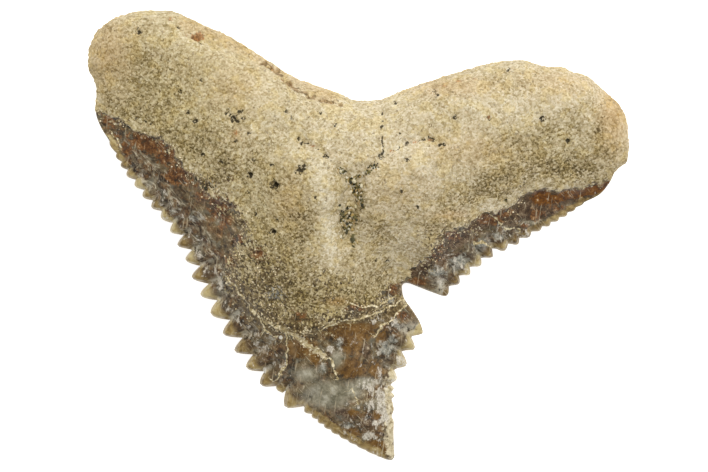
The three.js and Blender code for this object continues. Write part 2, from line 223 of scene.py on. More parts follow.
def denticle_profile(apex, valley):
    """How far along its width, and share of its height, round one denticle."""
    corners = [(0.04, -valley), (apex * 0.5, 0.67), (apex * 0.92, 1.09),
               (apex + (1 - apex) * 0.3, 0.84), (apex + (1 - apex) * 0.7, 0.25), (1.04, -valley)]
    return even(corners, lengths_along(np.array(corners, float))[-1] / POINTS_PER_DENTICLE)[:-1]


def serrate(line, denticles, apex, valley, outwards):
    """A line with its denticles on it; outwards is 1 or -1 for the side that they stand on."""
    line = catmull(line)
    total = lengths_along(line)[-1]
    scale = total / sum(width for width, height in denticles)
    points = []
    start = 0.0
    for width, height in denticles:
        for share, rise in denticle_profile(apex, valley):
            at = (start + share * width) * scale
            ahead, behind = places_at(line, [min(at + 0.01, total), max(at - 0.01, 0)])
            along = (ahead - behind) / np.linalg.norm(ahead - behind)
            side = np.array([-along[1], along[0]]) * outwards
            points.append((ahead + behind) / 2 + side * rise * height)
        start += width
    points.append(line[-1])
    return np.array(points)


FINE = 0.07
root_edge = even(ROOT_EDGE, FINE)
back_edge = np.vstack([
    serrate(HEEL_LINE, HEEL_DENTICLES, 0.42, 0.15, 1), even(NOTCH, FINE)[1:],
    serrate(BACK_LINE, BACK_DENTICLES, 0.58, 0.15, 1)[1:], even(CUSP_BACK, FINE)[1:]])
front_edge = np.vstack([
    even(TIP, FINE), serrate(FRONT_LINE, FRONT_DENTICLES, 0.42, 0.38, -1)[::-1][1:]])
outline = np.vstack([root_edge, back_edge[1:], front_edge[1:-1]])
print("points round the tooth:", len(outline))

# %% [markdown]
# ## The two faces
#
# A blade has a natural middle line, its cutting edge, and two faces that part from it. So the
# shape is two heights over the same plan: the inner face above and the outer face below, equal
# along the outline. How high a face is depends on how far in from the edge a place lies. The
# root's side wall rounds over within two millimetres, and the crown rises in a long ramp.

# %% Distances to lines
Near = namedtuple("Near", "distance foot along left")
AT_ONCE = 2000  # places measured in one go, to keep the tables small


def nearest(line, places):
    """For each place its distance to the polyline, the nearest point on it, how far along the
    line that point is, and 1 or -1 for the line's left or right side."""
    step_x, step_y = np.diff(line, axis=0).T.astype(np.float32)
    start_x, start_y = line[:-1].T.astype(np.float32)
    squares = np.maximum(step_x**2 + step_y**2, 1e-12)
    best = np.empty(len(places), int)
    for low in range(0, len(places), AT_ONCE):
        x, y = places[low:low + AT_ONCE].T.astype(np.float32)[:, :, None]
        off_x, off_y = x - start_x, y - start_y
        share = np.clip((off_x * step_x + off_y * step_y) / squares, 0, 1)
        off_x -= share * step_x
        off_y -= share * step_y
        best[low:low + AT_ONCE] = (off_x * off_x + off_y * off_y).argmin(1)
    start, step = line[best], line[best + 1] - line[best]
    off = places - start
    share = np.clip((off * step).sum(1) / np.maximum((step**2).sum(1), 1e-12), 0, 1)
    foot = start + share[:, None] * step
    along = lengths_along(line)[best] + share * np.linalg.norm(step, axis=1)
    left = np.where(step[:, 0] * off[:, 1] > step[:, 1] * off[:, 0], 1, -1)
    return Near(np.linalg.norm(places - foot, axis=1), foot, along, left)


def within(ring, places):
    """Which places lie inside the closed ring."""
    inside = np.zeros(len(places), bool)
    ends = np.roll(ring, -1, axis=0)
    for (ax, ay), (bx, by) in zip(ring, ends):
        if ay != by:
            spans = (ay > places[:, 1]) != (by > places[:, 1])
            inside ^= spans & (places[:, 0] < (bx - ax) * (places[:, 1] - ay) / (by - ay) + ax)
    return inside


def smooth(value, low, high):
    """0 below low, 1 above high, and a soft step between."""
    t = np.clip((value - low) / (high - low), 0, 1)
    return t * t * (3 - 2 * t)


def mix(a, b, share):
    return a + (b - a) * share


def hill(places, middle, reach):
    """A round or oval hill of height 1."""
    return np.exp(-(((places - middle) / reach) ** 2).sum(1))


MIDDLE = np.array([[0.0, 0.0]])
print("mm from the middle to the root's edge:", nearest(root_edge, MIDDLE).distance.round(1)[0])

# %% Heights of the two faces
ROOT_PEAK = 6.4
LOBE_HEIGHT = 4.3
CUSP_HEIGHT = 1.9
ROOT_RIM = 2.6
TIP_RIM = 0.45
RIM_RISE = 0.1
ROOT_ROUNDING = 2.2
CROWN_REACH = 5.5
OUTER_REACH = 3.0
EDGE_BODY = {"reach": 0.4, "half": 0.17}
HOLLOW = 0.32
GROOVE = {"top": (-0.3, 4.0), "bottom": (-0.7, -1.2), "depth": 0.95, "half_width": 0.62,
          "deepest": (1.0, 1.8)}
SWELLING = {"middle": (-0.7, 3.0), "reach": (8.2, 5.2)}
ARCH_HOLLOW = {"middle": (0.5, 5.2), "reach": (3.4, 1.7), "depth": 0.55}
RESTS = [((-10.6, 7.6), 2.6, 0.75), ((10.3, 5.2), 2.6, 0.75), ((-1.9, -5.6), 3.0, 1.1)]
groove_line = np.array([GROOVE["top"], GROOVE["bottom"]])


def crown_depth(places):
    """Distance from the two cutting edges as one smooth value, with no ridge in the middle."""
    front = np.maximum(nearest(front_edge, places).distance, 1e-6)
    back = np.maximum(nearest(back_edge, places).distance, 1e-6)
    return 1 / np.hypot(1 / front, 1 / back)


def inner_height(places):
    x, y = places.T
    lobes = mix(CUSP_HEIGHT, LOBE_HEIGHT, smooth(y, -13, 0))
    swelling = (ROOT_PEAK - LOBE_HEIGHT) * hill(places, SWELLING["middle"], SWELLING["reach"])
    start, end = GROOVE["deepest"]
    fading = smooth(y, GROOVE["bottom"][1] - 1, start)
    fading *= 1 - smooth(y, end, GROOVE["top"][1] + 0.4)
    off_groove = nearest(groove_line, places).distance / GROOVE["half_width"]
    groove = GROOVE["depth"] * fading * np.exp(-off_groove**2)
    hollow = ARCH_HOLLOW["depth"] * hill(places, ARCH_HOLLOW["middle"], ARCH_HOLLOW["reach"])
    waves = 0.09 * np.sin(1.1 * x + 0.7 * y) * np.sin(0.9 * y - 0.4 * x + 1)
    return lobes + swelling - groove - hollow + waves


def outer_height(places):
    height = np.full(len(places), HOLLOW)
    for middle, radius, depth in RESTS:
        height -= depth * hill(places, middle, radius)
    return height


def faces_at(places):
    """Where the inner and the outer face are over the places, and how far in those lie."""
    to_root, root_foot = nearest(root_edge, places)[:2]
    crown = crown_depth(places)
    turn = np.minimum(to_root / ROOT_ROUNDING, 1) * (np.pi / 2)
    pulled = to_root - np.minimum(to_root, ROOT_ROUNDING * (1 - np.cos(turn)))
    near_wall = (to_root > 0) & (turn < np.pi / 2)
    pull = np.where(near_wall, pulled * smooth(crown, 0, 2) / np.maximum(to_root, 1e-9), 0)
    wall = np.sin(turn)
    inwards = np.clip(crown / CROWN_REACH, 0, 1)
    outer_in = np.clip(crown / OUTER_REACH, 0, 1)
    inner_ramp = wall * mix(inwards, smooth(inwards, 0, 1), 0.5)
    outer_ramp = wall * (1 - (1 - outer_in) ** 1.8)
    cutting = TIP_RIM + RIM_RISE * (places[:, 1] - TIP[2][1])
    rim = mix(cutting, ROOT_RIM, smooth(crown, 0, 3))
    behind = 1 - np.clip(crown / EDGE_BODY["reach"], 0, 1)
    body = EDGE_BODY["half"] * np.sqrt(1 - behind**2) * (1 - inwards) * wall
    plan = places + (root_foot - places) * pull[:, None]
    inner = mix(rim, inner_height(places), inner_ramp) + body
    outer = np.maximum(0, mix(rim, outer_height(places), outer_ramp) - body)
    return plan, inner, outer, inner_ramp, crown, to_root


print("inner and outer face in the middle, mm:", [z.round(2)[0] for z in faces_at(MIDDLE)[1:3]])

# %% [markdown]
# ## Cover the plan with triangles
#
# Both faces are triangulated in plan. A jittered hexagonal grid gives even triangles, and
# Blender's constrained Delaunay function joins it to the saw edge without cutting a denticle
# off. A triangle edge that ran across a denticle from rim to rim would pinch both faces
# together there, so such edges get a place in their middle until none is left. The inner face
# has fine triangles, small enough for grains of sand; the outer face gets coarser ones.

# %% Triangles
INNER_STEP = 0.078
OUTER_STEP = 0.19
CLEAR_OF_EDGE = 0.045
random = np.random.default_rng(7)
rim = len(outline)


def grid_inside(step):
    """A jittered hexagonal grid inside the outline."""
    rows = np.arange(-12, 12, step * math.sqrt(0.75))
    columns = np.arange(-14.2, 14.2, step)
    x, y = np.meshgrid(columns, rows)
    x[1::2] += step / 2
    places = np.stack([x.ravel(), y.ravel()], axis=1)
    places += random.uniform(-0.16, 0.16, places.shape) * step
    places = places[within(outline, places)]
    gap = nearest(np.vstack([outline, outline[:1]]), places).distance
    return places[gap > CLEAR_OF_EDGE]


def triangles_over(places):
    """Triangles between the outline, which comes first, and the places inside it."""
    ring = [(i, (i + 1) % rim) for i in range(rim)]
    made, _, faces, _, _, _ = delaunay_2d_cdt([Vector(p) for p in places], ring, [], 1, 1e-7)
    assert len(made) == len(places)
    faces = np.array(faces)
    a, b, c = (places[faces[:, i]] for i in range(3))
    turned = (b[:, 0] - a[:, 0]) * (c[:, 1] - a[:, 1]) < (b[:, 1] - a[:, 1]) * (c[:, 0] - a[:, 0])
    faces[turned] = faces[turned][:, ::-1]
    return faces


def cover(inside):
    """Places and triangles of one face, with no triangle edge across from rim to rim."""
    places = np.vstack([outline, inside])
    while True:
        faces = triangles_over(places)
        edges = np.sort(np.vstack([faces[:, [0, 1]], faces[:, [1, 2]], faces[:, [2, 0]]]))
        edges = np.unique(edges[(edges < rim).all(1)], axis=0)
        step = edges[:, 1] - edges[:, 0]
        across = edges[(step > 1) & (step < rim - 1)]
        if not len(across):
            return places, faces
        places = np.vstack([places, places[across].mean(1)])


inner_places, inner_faces = cover(grid_inside(INNER_STEP))
outer_places, outer_faces = cover(grid_inside(OUTER_STEP))
print("triangles: inner face", len(inner_faces), "outer face", len(outer_faces))

# %% Join both faces along the outline
plan_in, inner, _, ramp_in, crown_in, wall_in = faces_at(inner_places)
plan_out, _, outer, ramp_out, crown_out, wall_out = faces_at(outer_places)
points = np.vstack([np.c_[plan_in, inner], np.c_[plan_out, outer][rim:]])
lower = np.where(outer_faces < rim, outer_faces, outer_faces + len(inner_places) - rim)
faces = np.vstack([inner_faces, lower[:, ::-1]])
plan = points[:, :2].copy()
ramp = np.concatenate([ramp_in, ramp_out[rim:]])
crown = np.concatenate([crown_in, crown_out[rim:]])
to_wall = np.concatenate([wall_in, wall_out[rim:]])
upper = np.arange(len(points)) < len(inner_places)
print("points", len(points), "triangles", len(faces))

# %% [markdown]
# ## Where sand ends and enamel begins
#
# On this fossil the root's sandy bone runs out over the enamel in a crumbly ledge, crisp along
# the front and thin and patchy in the middle of the blade. One signed distance to that border
# drives everything: the step in the surface, the colour, the gloss and where crumbs lie. A
# little noise on the distance breaks the border up into crumbs.

# %% Signed distance to the ledge
LEDGE = [
    (-13.7, 6.5), (-13.0, 6.3), (-11.6, 5.6), (-10.6, 5.2), (-9.8, 4.6), (-9.5, 4.0),
    (-8.8, 3.3), (-8.2, 2.7), (-7.7, 2.1), (-6.6, 1.7), (-6.2, 0.9), (-6.0, 0.0),
    (-6.4, -1.0), (-6.7, -2.0), (-6.2, -2.9), (-5.6, -3.7), (-4.9, -4.2), (-3.9, -4.7),
    (-2.9, -5.1), (-2.05, -4.85), (-1.3, -4.6), (-0.35, -4.3), (0.9, -4.0), (1.4, -3.5),
    (1.5, -2.8), (1.75, -2.45), (2.3, -2.3), (2.55, -2.0), (2.7, -1.65), (3.2, -1.35),
    (3.8, -0.95), (4.5, -0.2), (5.0, 0.15), (5.5, 0.45), (5.9, 0.8), (6.4, 1.0), (7.0, 1.15),
    (7.9, 1.45), (8.4, 2.0), (9.1, 2.25), (10.2, 2.3), (11.4, 2.55), (12.5, 2.8), (13.8, 3.05)]
OUTER_BORDER = [
    (-13.7, 6.4), (-11.5, 6.9), (-9.0, 6.5), (-6.5, 5.6), (-4.0, 4.6), (-1.5, 3.8), (0.0, 3.6),
    (2.5, 3.9), (5.0, 4.4), (7.2, 5.1), (9.0, 5.2), (11.2, 4.6), (13.8, 3.1)]
FAR = 9.0  # stands for any larger distance to a pore, crack or vein
CURVE_STEP = 0.12


def field(places, size, basis="PERLIN_ORIGINAL"):
    """Blender's noise at each place, for lumps of about the given size in millimetres."""
    return np.array([noise.noise(Vector(p) / size, noise_basis=basis) for p in places])


def line_distance(places, points_on_line):
    """Distance to the curve through the points."""
    return nearest(even(points_on_line, CURVE_STEP), places).distance


def nearest_side(places, *lines):
    """Signed distance to the nearest of the lines: its sign changes across the line, so that the
    line stays thin when the value is interpolated over a triangle."""
    best = np.full(len(places), FAR)
    for line in lines:
        curve = even(line, CURVE_STEP)
        near = nearest(curve, places)
        beside = (near.along > 0) & (near.along < lengths_along(curve)[-1])
        signed = near.distance * np.where(beside, near.left, 1)
        best = np.where(np.abs(signed) < np.abs(best), signed, best)
    return best


def above(border, places):
    """Signed distance to a border across the tooth, positive on the root's side."""
    line = even(border, CURVE_STEP)
    ring = np.vstack([line, [(20, line[-1][1]), (20, 20), (-20, 20), (-20, line[0][1])]])
    return nearest(line, places).distance * np.where(within(ring, places), 1, -1)


def spots(*marks, lines=()):
    """Soft marks (x, y, reach along x, reach along y, strength) and soft lines (strength, half
    width, points) on the plan; the strongest counts."""
    drawn = [hill(plan, (x, y), (wide, high)) * strength for x, y, wide, high, strength in marks]
    drawn += [strength * np.exp(-((line_distance(plan, line) / width) ** 2))
              for strength, width, line in lines]
    return np.max(drawn, axis=0)


coarse = field(points, 1.3)
crumble = field(points, 0.42)
grainy = field(points, 0.2)
border = np.where(upper, above(LEDGE, plan), above(OUTER_BORDER, plan))
# How far the sand's border is broken up, and by how much the sand itself is thinner
patchy = np.where(upper, spots(
    (-5.4, -1.8, 1.7, 2.6, 1), (-3.8, -3.8, 2.2, 1.3, 1), (0.6, -3.6, 2.4, 0.8, 0.6),
    (4.2, 0.2, 1.6, 0.9, 0.5), (-7.6, 2.2, 1.2, 0.9, 0.4)), 0)
thin = np.where(upper, spots(
    (-4.7, -2.6, 1.7, 2, 0.5), (-2.6, -4.4, 1.9, 1.2, 0.5), (0.4, -3.9, 2.3, 0.8, 0.42),
    (-1.6, -2.8, 2.4, 1.5, 0.3), (4, -0.1, 1.6, 0.8, 0.3), (8.4, 2.4, 1.4, 0.5, 0.3),
    (-7.4, 3, 1.4, 1, 0.3), (-11.6, 5.9, 1.6, 0.4, 0.2), (-5.1, -0.9, 0.45, 0.45, 0.8),
    (-6.2, -0.2, 0.4, 0.3, 0.65), (-3.05, -4.15, 0.6, 0.35, 0.9), (-4.2, -3, 0.7, 0.6, 0.62),
    (-0.1, -3.7, 0.7, 0.3, 0.75), (-6.9, 1.5, 0.5, 0.6, 0.7), (-4.7, -1.5, 0.5, 0.5, 0.4)), 0)
ledge = border + (0.22 * coarse + 0.2 * crumble + 0.1 * grainy) * (1 + patchy)
sand = np.clip(0.5 + ledge / (2 * mix(0.13, 1.25, patchy)), 0, 1) - thin
SPILL = [(-4.9, -4.4), (-4.2, -4.7), (-3.2, -5.2), (-2.5, -5.8), (-1.7, -6.3)]
spill = spots((-1.7, -4.45, 0.8, 0.3, 0.8), lines=[(1, 0.2, SPILL)]) * upper
sand = np.maximum(sand, 0.85 * spill)
dusting = np.exp(-((border / 0.9) ** 2)) * mix(0.27, 0, smooth(plan[:, 0], 1, 9))
dusting = np.maximum(dusting, spots(
    (-6.8, -2.4, 0.5, 1, 0.4), (-7.2, 1.4, 0.8, 0.9, 0.36), (3.6, -1.6, 0.8, 0.8, 0.35),
    (-2.6, -6.2, 0.7, 0.4, 0.3), (2.2, -3.2, 0.9, 0.7, 0.4), (-1.2, -5.2, 0.9, 0.4, 0.25),
    (-9.8, 4.6, 0.7, 0.5, 0.42), (6.2, 0.2, 0.8, 0.4, 0.3)))
sand = np.maximum(sand, dusting * upper)
print("share of the inner face under sand:", round(float(sand[:len(inner_places)].mean()), 2))

# %% [markdown]
# ## Relief
#
# The heights so far are smooth. Real fossil bone is rough at every scale: broad waves, lumps,
# and grains of sand, with pores where vessels ran and cracks from drying. Each is a small push
# along the surface's own direction. The enamel stays nearly smooth, but every denticle has a
# rib that runs in from its point, with a valley on both sides. The underside is kept above
# the floor where the tooth rests on it.

# %% Pores, creases and veins
PORES = [
    (-4.35, 2.6, 0.26, 0.4), (-4.4, 0.2, 0.2, 0.3), (-9.2, 7.5, 0.13, 0.2),
    (-8.35, 10.3, 0.24, 0.24), (-6.4, 6.1, 0.2, 0.25), (-5.6, 3.1, 0.15, 0.25),
    (-11.3, 10.5, 0.15, 0.22), (-3.0, 3.4, 0.17, 0.25), (9.4, 6.05, 0.17, 0.2)]
SMALL_PORES = [
    (-9.3, 10.8), (-8.1, 8.0), (-8.8, 6.4), (-8.4, 5.9), (-6.8, 6.3), (-6.1, 6.35), (-6.2, 5.85),
    (-6.3, 4.9), (-8.0, 4.2), (-5.4, 3.9), (-6.7, 2.9), (-2.8, 3.6), (-3.2, 3.3), (-5.3, 1.1),
    (-1.9, 6.3), (-1.2, 5.7), (7.7, 8.5), (6.7, 6.1), (2.5, 3.9), (4.9, 6.1), (-5.6, 5.3),
    (-5.1, -1.3), (2.2, 2.3), (4.4, 4.7), (-11.0, 5.9), (-11.5, 6.1), (-10.7, 5.8),
    (-2.2, 2.0), (-5.9, 0.4), (3.9, 7.5), (3.8, 5.0), (10.8, 4.9), (-7.1, 3.8), (-6.6, 6.2),
    (-5.9, 6.0), (-3.1, 4.9), (-1.65, 4.15), (3.35, 5.0), (1.2, 4.25), (1.22, 4.03), (3.05, 1.5),
    (2.14, 5.3), (2.54, 3.9), (-2.8, 3.5), (-1.2, 5.65), (-7.75, 2.7), (-7.5, 2.5), (-7.9, 2.45),
    (1.5, -1.3), (0.95, -1.3), (-4.45, 3.65), (-6.7, 6.45), (-3.1, 5.02), (-2.95, 4.8),
    (3.65, 5.02), (3.8, 4.95), (4.15, 4.7), (0.97, 3.65), (2.5, 4.8), (-5.7, 2.25),
    (-6.15, 0.7), (-6.6, -0.35), (-4.2, 0.8), (-3.45, 6.05), (-3.7, 6.4), (4.06, 7.27),
    (1.86, 6.85)]
FORK_LEFT = [(-3.0, 5.0), (-2.4, 4.6), (-1.6, 4.2), (-1.1, 3.6), (-0.7, 3.0)]
FORK_RIGHT = [
    (4.2, 4.6), (3.4, 5.0), (2.5, 4.8), (1.7, 4.3), (0.9, 3.9), (0.4, 3.5), (-0.2, 2.5)]
ARCH_CRACK = [(1.2, 7.05), (1.22, 6.0), (1.18, 5.4), (1.24, 4.7), (1.26, 4.1)]
RIM_CRACK = [
    (-9.2, 10.6), (-8.3, 10.3), (-7.1, 9.85), (-6.2, 9.6), (-4.9, 8.95), (-4.15, 8.5),
    (-3.6, 7.85), (-2.9, 7.45), (-1.9, 7.1), (-0.85, 6.85)]
VEINS = [
    [(-6.85, -2.1), (-6.35, -2.8), (-5.9, -3.3), (-5.5, -3.9), (-5.1, -4.4), (-4.9, -4.9)],
    [(-3.8, -5.0), (-3.75, -5.9), (-3.75, -6.6), (-3.95, -7.0), (-4.4, -7.45)],
    [(-4.6, -4.4), (-3.4, -5.2), (-2.6, -5.85), (-2.1, -5.95), (-1.75, -6.3)],
    [(-2.05, -4.9), (-1.3, -4.6), (-0.35, -4.3), (0.1, -4.25), (0.9, -4.0), (1.5, -3.7),
     (2.3, -3.35)],
    [(-0.55, -3.35), (0.05, -3.68), (0.8, -3.63), (1.4, -3.45), (1.9, -3.1)],
    [(2.6, -3.5), (1.75, -4.3), (1.2, -4.8), (0.9, -5.2)],
    [(-1.5, -6.35), (-1.25, -6.8), (-1.1, -7.4)],
    [(-0.35, -7.9), (-0.15, -8.3), (0.05, -8.65)],
    [(-4.9, -4.9), (-4.3, -5.3)],
    [(6.0, -0.35), (6.5, -0.3), (7.0, -0.6)],
    [(6.9, 1.05), (7.45, 0.6)],
    [(7.6, 0.35), (8.0, 0.5), (8.35, 0.42), (8.35, 0.15)],
    [(-12.9, 5.5), (-12.3, 4.7)]]

SMALL_PORE = (0.11, 0.12)  # radius and depth
CREASES = [(FORK_LEFT, 0.28, 0.2), (FORK_RIGHT, 0.26, 0.18), (ARCH_CRACK, 0.14, 0.1),
           (RIM_CRACK, 0.17, 0.24)]
pits = np.zeros(len(points))
pit_gap = np.full(len(points), FAR)
for x, y, radius, depth in PORES + [place + SMALL_PORE for place in SMALL_PORES]:
    gap = np.hypot(plan[:, 0] - x, plan[:, 1] - y) * (1 + 0.7 * grainy + 0.5 * crumble) / radius
    pits = np.maximum(pits, depth * (1 - smooth(gap, 0.1, 1.1)))
    pit_gap = np.minimum(pit_gap, gap)

strayed = plan + 0.13 * np.c_[crumble + 0.6 * grainy, field(points + 5.3, 0.42)]
creases = np.zeros(len(points))
for line, wide, depth in CREASES:
    gap = line_distance(strayed, line)
    creases = np.maximum(creases, depth * np.exp(-((gap / wide) ** 2)))
    if line in (FORK_LEFT, FORK_RIGHT):
        pit_gap = np.minimum(pit_gap, 0.9 + gap / 0.2)
DRAWN_RIM_CRACK = RIM_CRACK[4:]  # the crack is open only in this part
crack_gap = nearest_side(mix(plan, strayed, 0.3), ARCH_CRACK)
rim_gap = nearest_side(mix(plan, strayed, 0.5), DRAWN_RIM_CRACK)
vein_gap = nearest_side(strayed, *VEINS)
veins = np.exp(-((vein_gap / 0.06) ** 2))
for mark in (pits, creases, veins):
    mark[~upper] = 0
for gap in (pit_gap, crack_gap, rim_gap, vein_gap):
    gap[~upper] = FAR
print("pores", len(PORES) + len(SMALL_PORES), "creases", len(CREASES), "veins", len(VEINS))

# %% Place on the saw edge
# Each point learns which denticle it is nearest to, and its place across and in from it.
foot_lines = [(FRONT_LINE, FRONT_DENTICLES, -1, 0.3), (HEEL_LINE, HEEL_DENTICLES, 1, 0.1),
              (BACK_LINE, BACK_DENTICLES, 1, 0.6)]
inwards = np.full(len(points), 99.0)
along = np.zeros(len(points))
across_denticle = np.zeros(len(points))
denticle_width = np.ones(len(points))
denticle_height = np.zeros(len(points))
denticle_tone = np.zeros(len(points))
for line, denticles, outwards, darkest in foot_lines:
    curve = even(line, 0.08)
    near = nearest(curve, plan)
    widths = np.array([width for width, height in denticles])
    widths *= lengths_along(curve)[-1] / widths.sum()
    starts = np.concatenate([[0], np.cumsum(widths)[:-1]])
    which = np.clip(np.searchsorted(starts, near.along, "right") - 1, 0, len(widths) - 1)
    mine = near.distance < np.abs(inwards)
    inwards[mine] = (-near.left * outwards * near.distance)[mine]
    along[mine] = near.along[mine]
    across_denticle[mine] = ((near.along - starts[which]) / widths[which])[mine]
    denticle_width[mine] = widths[which][mine]
    denticle_height[mine] = np.array([height for width, height in denticles])[which][mine]
    denticle_tone[mine] = random.uniform(darkest, 1, len(widths))[which][mine]
edge_gap = nearest(np.vstack([back_edge, front_edge]), plan).distance
rib = np.sin(np.pi * np.clip(across_denticle, 0, 1))
run_in = np.exp(-((np.maximum(inwards, 0) / (0.85 * denticle_width)) ** 2))
stout = smooth(denticle_height, 0.03, 0.3)
ribs = (rib - 0.45) * run_in * stout * smooth(edge_gap, 0.0, 0.22)
print("points on denticles:", int((inwards < 0).sum()))

# %% Push the surface
def outward(points, faces):
    """The direction that the surface faces at each point."""
    a, b, c = (points[faces[:, i]] for i in range(3))
    facing = np.cross(b - a, c - a)
    total = np.zeros_like(points)
    for i in range(3):
        np.add.at(total, faces[:, i], facing)
    return total / np.maximum(np.linalg.norm(total, axis=1, keepdims=True), 1e-12)


LEDGE_DROP = 0.2
drop = LEDGE_DROP * (1 - smooth(ledge, -0.12, 0.12)) * (1 - smooth(-ledge, 0.6, 3.0))
drop *= (1 - 0.6 * patchy) * smooth(ramp, 0, 0.3) * upper
grains = 0.5 - field(points, 0.19, "VORONOI_F1")
lumps = field(points + 31.7, 0.75)
waves = field(points + 11.3, 2.9)
sandy = 0.10 * waves + 0.05 * lumps + 0.035 * crumble + 0.05 * grains
glassy = 0.02 * waves + 0.015 * lumps + 0.012 * crumble + 0.36 * ribs
push = mix(glassy, sandy, np.clip(sand, 0, 1)) + 0.04 * veins - pits
push -= creases * np.clip(0.3 + 0.7 * sand, 0.3, 1) * smooth(lumps, -0.6, 0.1)
push *= np.where(to_wall < 0.02, 0.5, 1.0) * mix(0.15, 1.0, smooth(edge_gap, 0, 0.15))
push = push - drop
facing = outward(points, faces)
resting = np.where(upper, 1, smooth(points[:, 2], 0.02, 0.2))
points = points + facing * (push * resting)[:, None]
points[:, 2] = np.maximum(points[:, 2], 0)
points[:, :2] -= (outline.min(0) + outline.max(0)) / 2
print("pushed by", round(float(push.min()), 3), "to", round(float(push.max()), 3), "mm")

# %% [markdown]
# ## Painting by place
#
# A fossil's colours follow its history and not a repeating pattern: soil stains where water
# stood, rust where the enamel starts, milky patches. Some marks are painted light and shade
# instead: the root's darker places hold painted shade where its surface turns away from the
# light as well as darker sand, a pale line on the crest left of the groove is a painted
# highlight, grey streaks on the enamel carry a painted sheen, and the clefts beside the
# denticles get painted shade. Each of these is a named value, mostly from 0 to 1, on every
# point of the mesh, made of soft marks and streaks. The material then mixes its colours by
# these names.

# %% Stains of the root, with painted shade and a painted highlight
# Darker places of the root: partly darker sand, as in the tongue over the blade, and partly
# painted shade where the surface turns away from the light, on the lower sides of the lobes and in
# the groove.
dark_sand_and_shade = spots(
    (-4, -2.9, 3, 2.2, 0.85), (0.4, -3.2, 2.9, 1.2, 0.75), (0.05, 1.9, 0.35, 0.9, 0.7),
    (-0.35, 0.8, 0.7, 0.7, 0.6), (0.9, 0.5, 0.6, 1, 0.5), (1.9, 0, 1, 0.7, 0.4),
    (-10.4, 8.4, 2.1, 1.6, 0.5), (-9.6, 6.9, 1.8, 1.1, 0.5), (10.8, 5.7, 1.7, 1, 0.35),
    (9.2, 4.5, 3.2, 0.9, 0.4), (9.8, 5.3, 0.9, 0.5, 0.55), (12.3, 5.4, 0.5, 1, 0.45),
    (-2.9, 0.9, 1.1, 2.2, 0.42), (1.4, 0.6, 1.3, 2, 0.25), (-0.2, -1.5, 1.4, 1.2, 0.25),
    (-5.2, 0.4, 1.2, 1.6, 0.5), (3.9, 0.6, 2.4, 1, 0.35), (-7.3, 3.6, 1.8, 1.2, 0.55),
    (-3, -1.6, 2, 1.4, 0.4), (-1.4, -3.6, 3.4, 1.6, 0.9), (11, 3.4, 2.4, 0.8, 0.95),
    (-9, 5, 4.6, 2.4, 0.4), (-4.6, -1, 2.2, 2.4, 0.6), (0.9, -2.6, 2, 1.2, 0.62),
    (-5.4, 2.4, 4.2, 3.6, 0.36), lines=[
        (0.6, 0.9, [(3, -0.6), (4.4, 0.9), (6.4, 2.3), (8.2, 3.3), (10.2, 3.9), (12.6, 4.1)]),
        (0.65, 0.6, [(-13.3, 7.2), (-12.6, 6.7), (-10.4, 5.9), (-8.6, 4.2)])])
CLOUDING = [  # darker above 0 and paler below
    (-12, 10.6, 1.2, 0.9, 0.2), (-11.3, 7, 0.6, 0.5, 0.35), (7.6, 7.5, 1.1, 0.9, 0.27),
    (-8.2, 4.7, 0.7, 0.7, 0.25), (-6.4, 3.9, 0.8, 0.5, 0.22), (-7.2, 3, 0.6, 0.5, 0.35),
    (6.5, 2.9, 0.8, 0.5, 0.25), (7.4, 2, 0.6, 0.4, 0.2), (-3, 0.3, 0.6, 1.1, 0.4),
    (1.1, -0.1, 0.5, 0.8, 0.28), (-5.1, -1.2, 0.5, 0.5, 0.25), (-3, -1.3, 0.7, 0.5, 0.22),
    (-13.4, 7.1, 0.4, 0.5, -0.45), (-12.5, 5.9, 0.6, 0.5, -0.25), (-8.2, 7.1, 0.7, 0.5, -0.25),
    (-5.6, 7, 1.1, 0.6, -0.26), (13.6, 5.6, 0.4, 0.9, -0.28), (5.2, 4.8, 1.5, 0.6, -0.3),
    (-3.5, 4.2, 0.8, 0.7, -0.32), (12, 4.2, 1, 0.6, -0.18), (0.1, 3, 0.4, 0.4, -0.2),
    (4.2, 0.9, 0.6, 0.4, -0.2), (-6.2, -0.2, 0.5, 0.5, -0.2), (2.9, -0.2, 0.8, 0.5, -0.55),
    (-5.2, -3.3, 1.4, 0.5, -0.22), (-1.4, -3.9, 1, 0.9, -0.55), (2.2, -3.4, 0.4, 0.3, -0.3)]
for mark in CLOUDING:
    dark_sand_and_shade += spots(mark)
# Paler places of the root: paler sand in patches, and along the line left of the groove a painted
# highlight on the lit crest.
pale = spots(
    (2.3, 4.5, 0.9, 0.6, 0.6), (7.6, 6.9, 1.4, 0.9, 0.45), (3.1, 4.1, 0.7, 0.5, 0.5),
    (6.3, 1.6, 1.4, 0.6, 0.6), (3, -1.2, 0.8, 0.8, 0.5), (5.1, 1.6, 0.5, 0.3, 0.95),
    (6.4, 2, 0.4, 0.4, 0.95), (7.6, 1.9, 0.4, 0.3, 0.8), (4.8, 1.1, 1, 0.25, 1),
    (-8.6, 10.2, 0.45, 0.45, 0.9), (-2, 5.6, 1.6, 1.2, 0.35), (-11.9, 6, 1, 0.3, 0.3),
    (-4.9, 4.6, 2, 1, 0.1), (10, 7.6, 2.6, 1, 0.2), lines=[
        (0.85, 0.42, [(-1.9, 3.4), (-1.75, 1.8), (-1.6, 0.2), (-1.3, -1.4)]),
        (0.6, 0.3, [(9.4, 3.1), (10.8, 2.95), (12.6, 3.3)])])
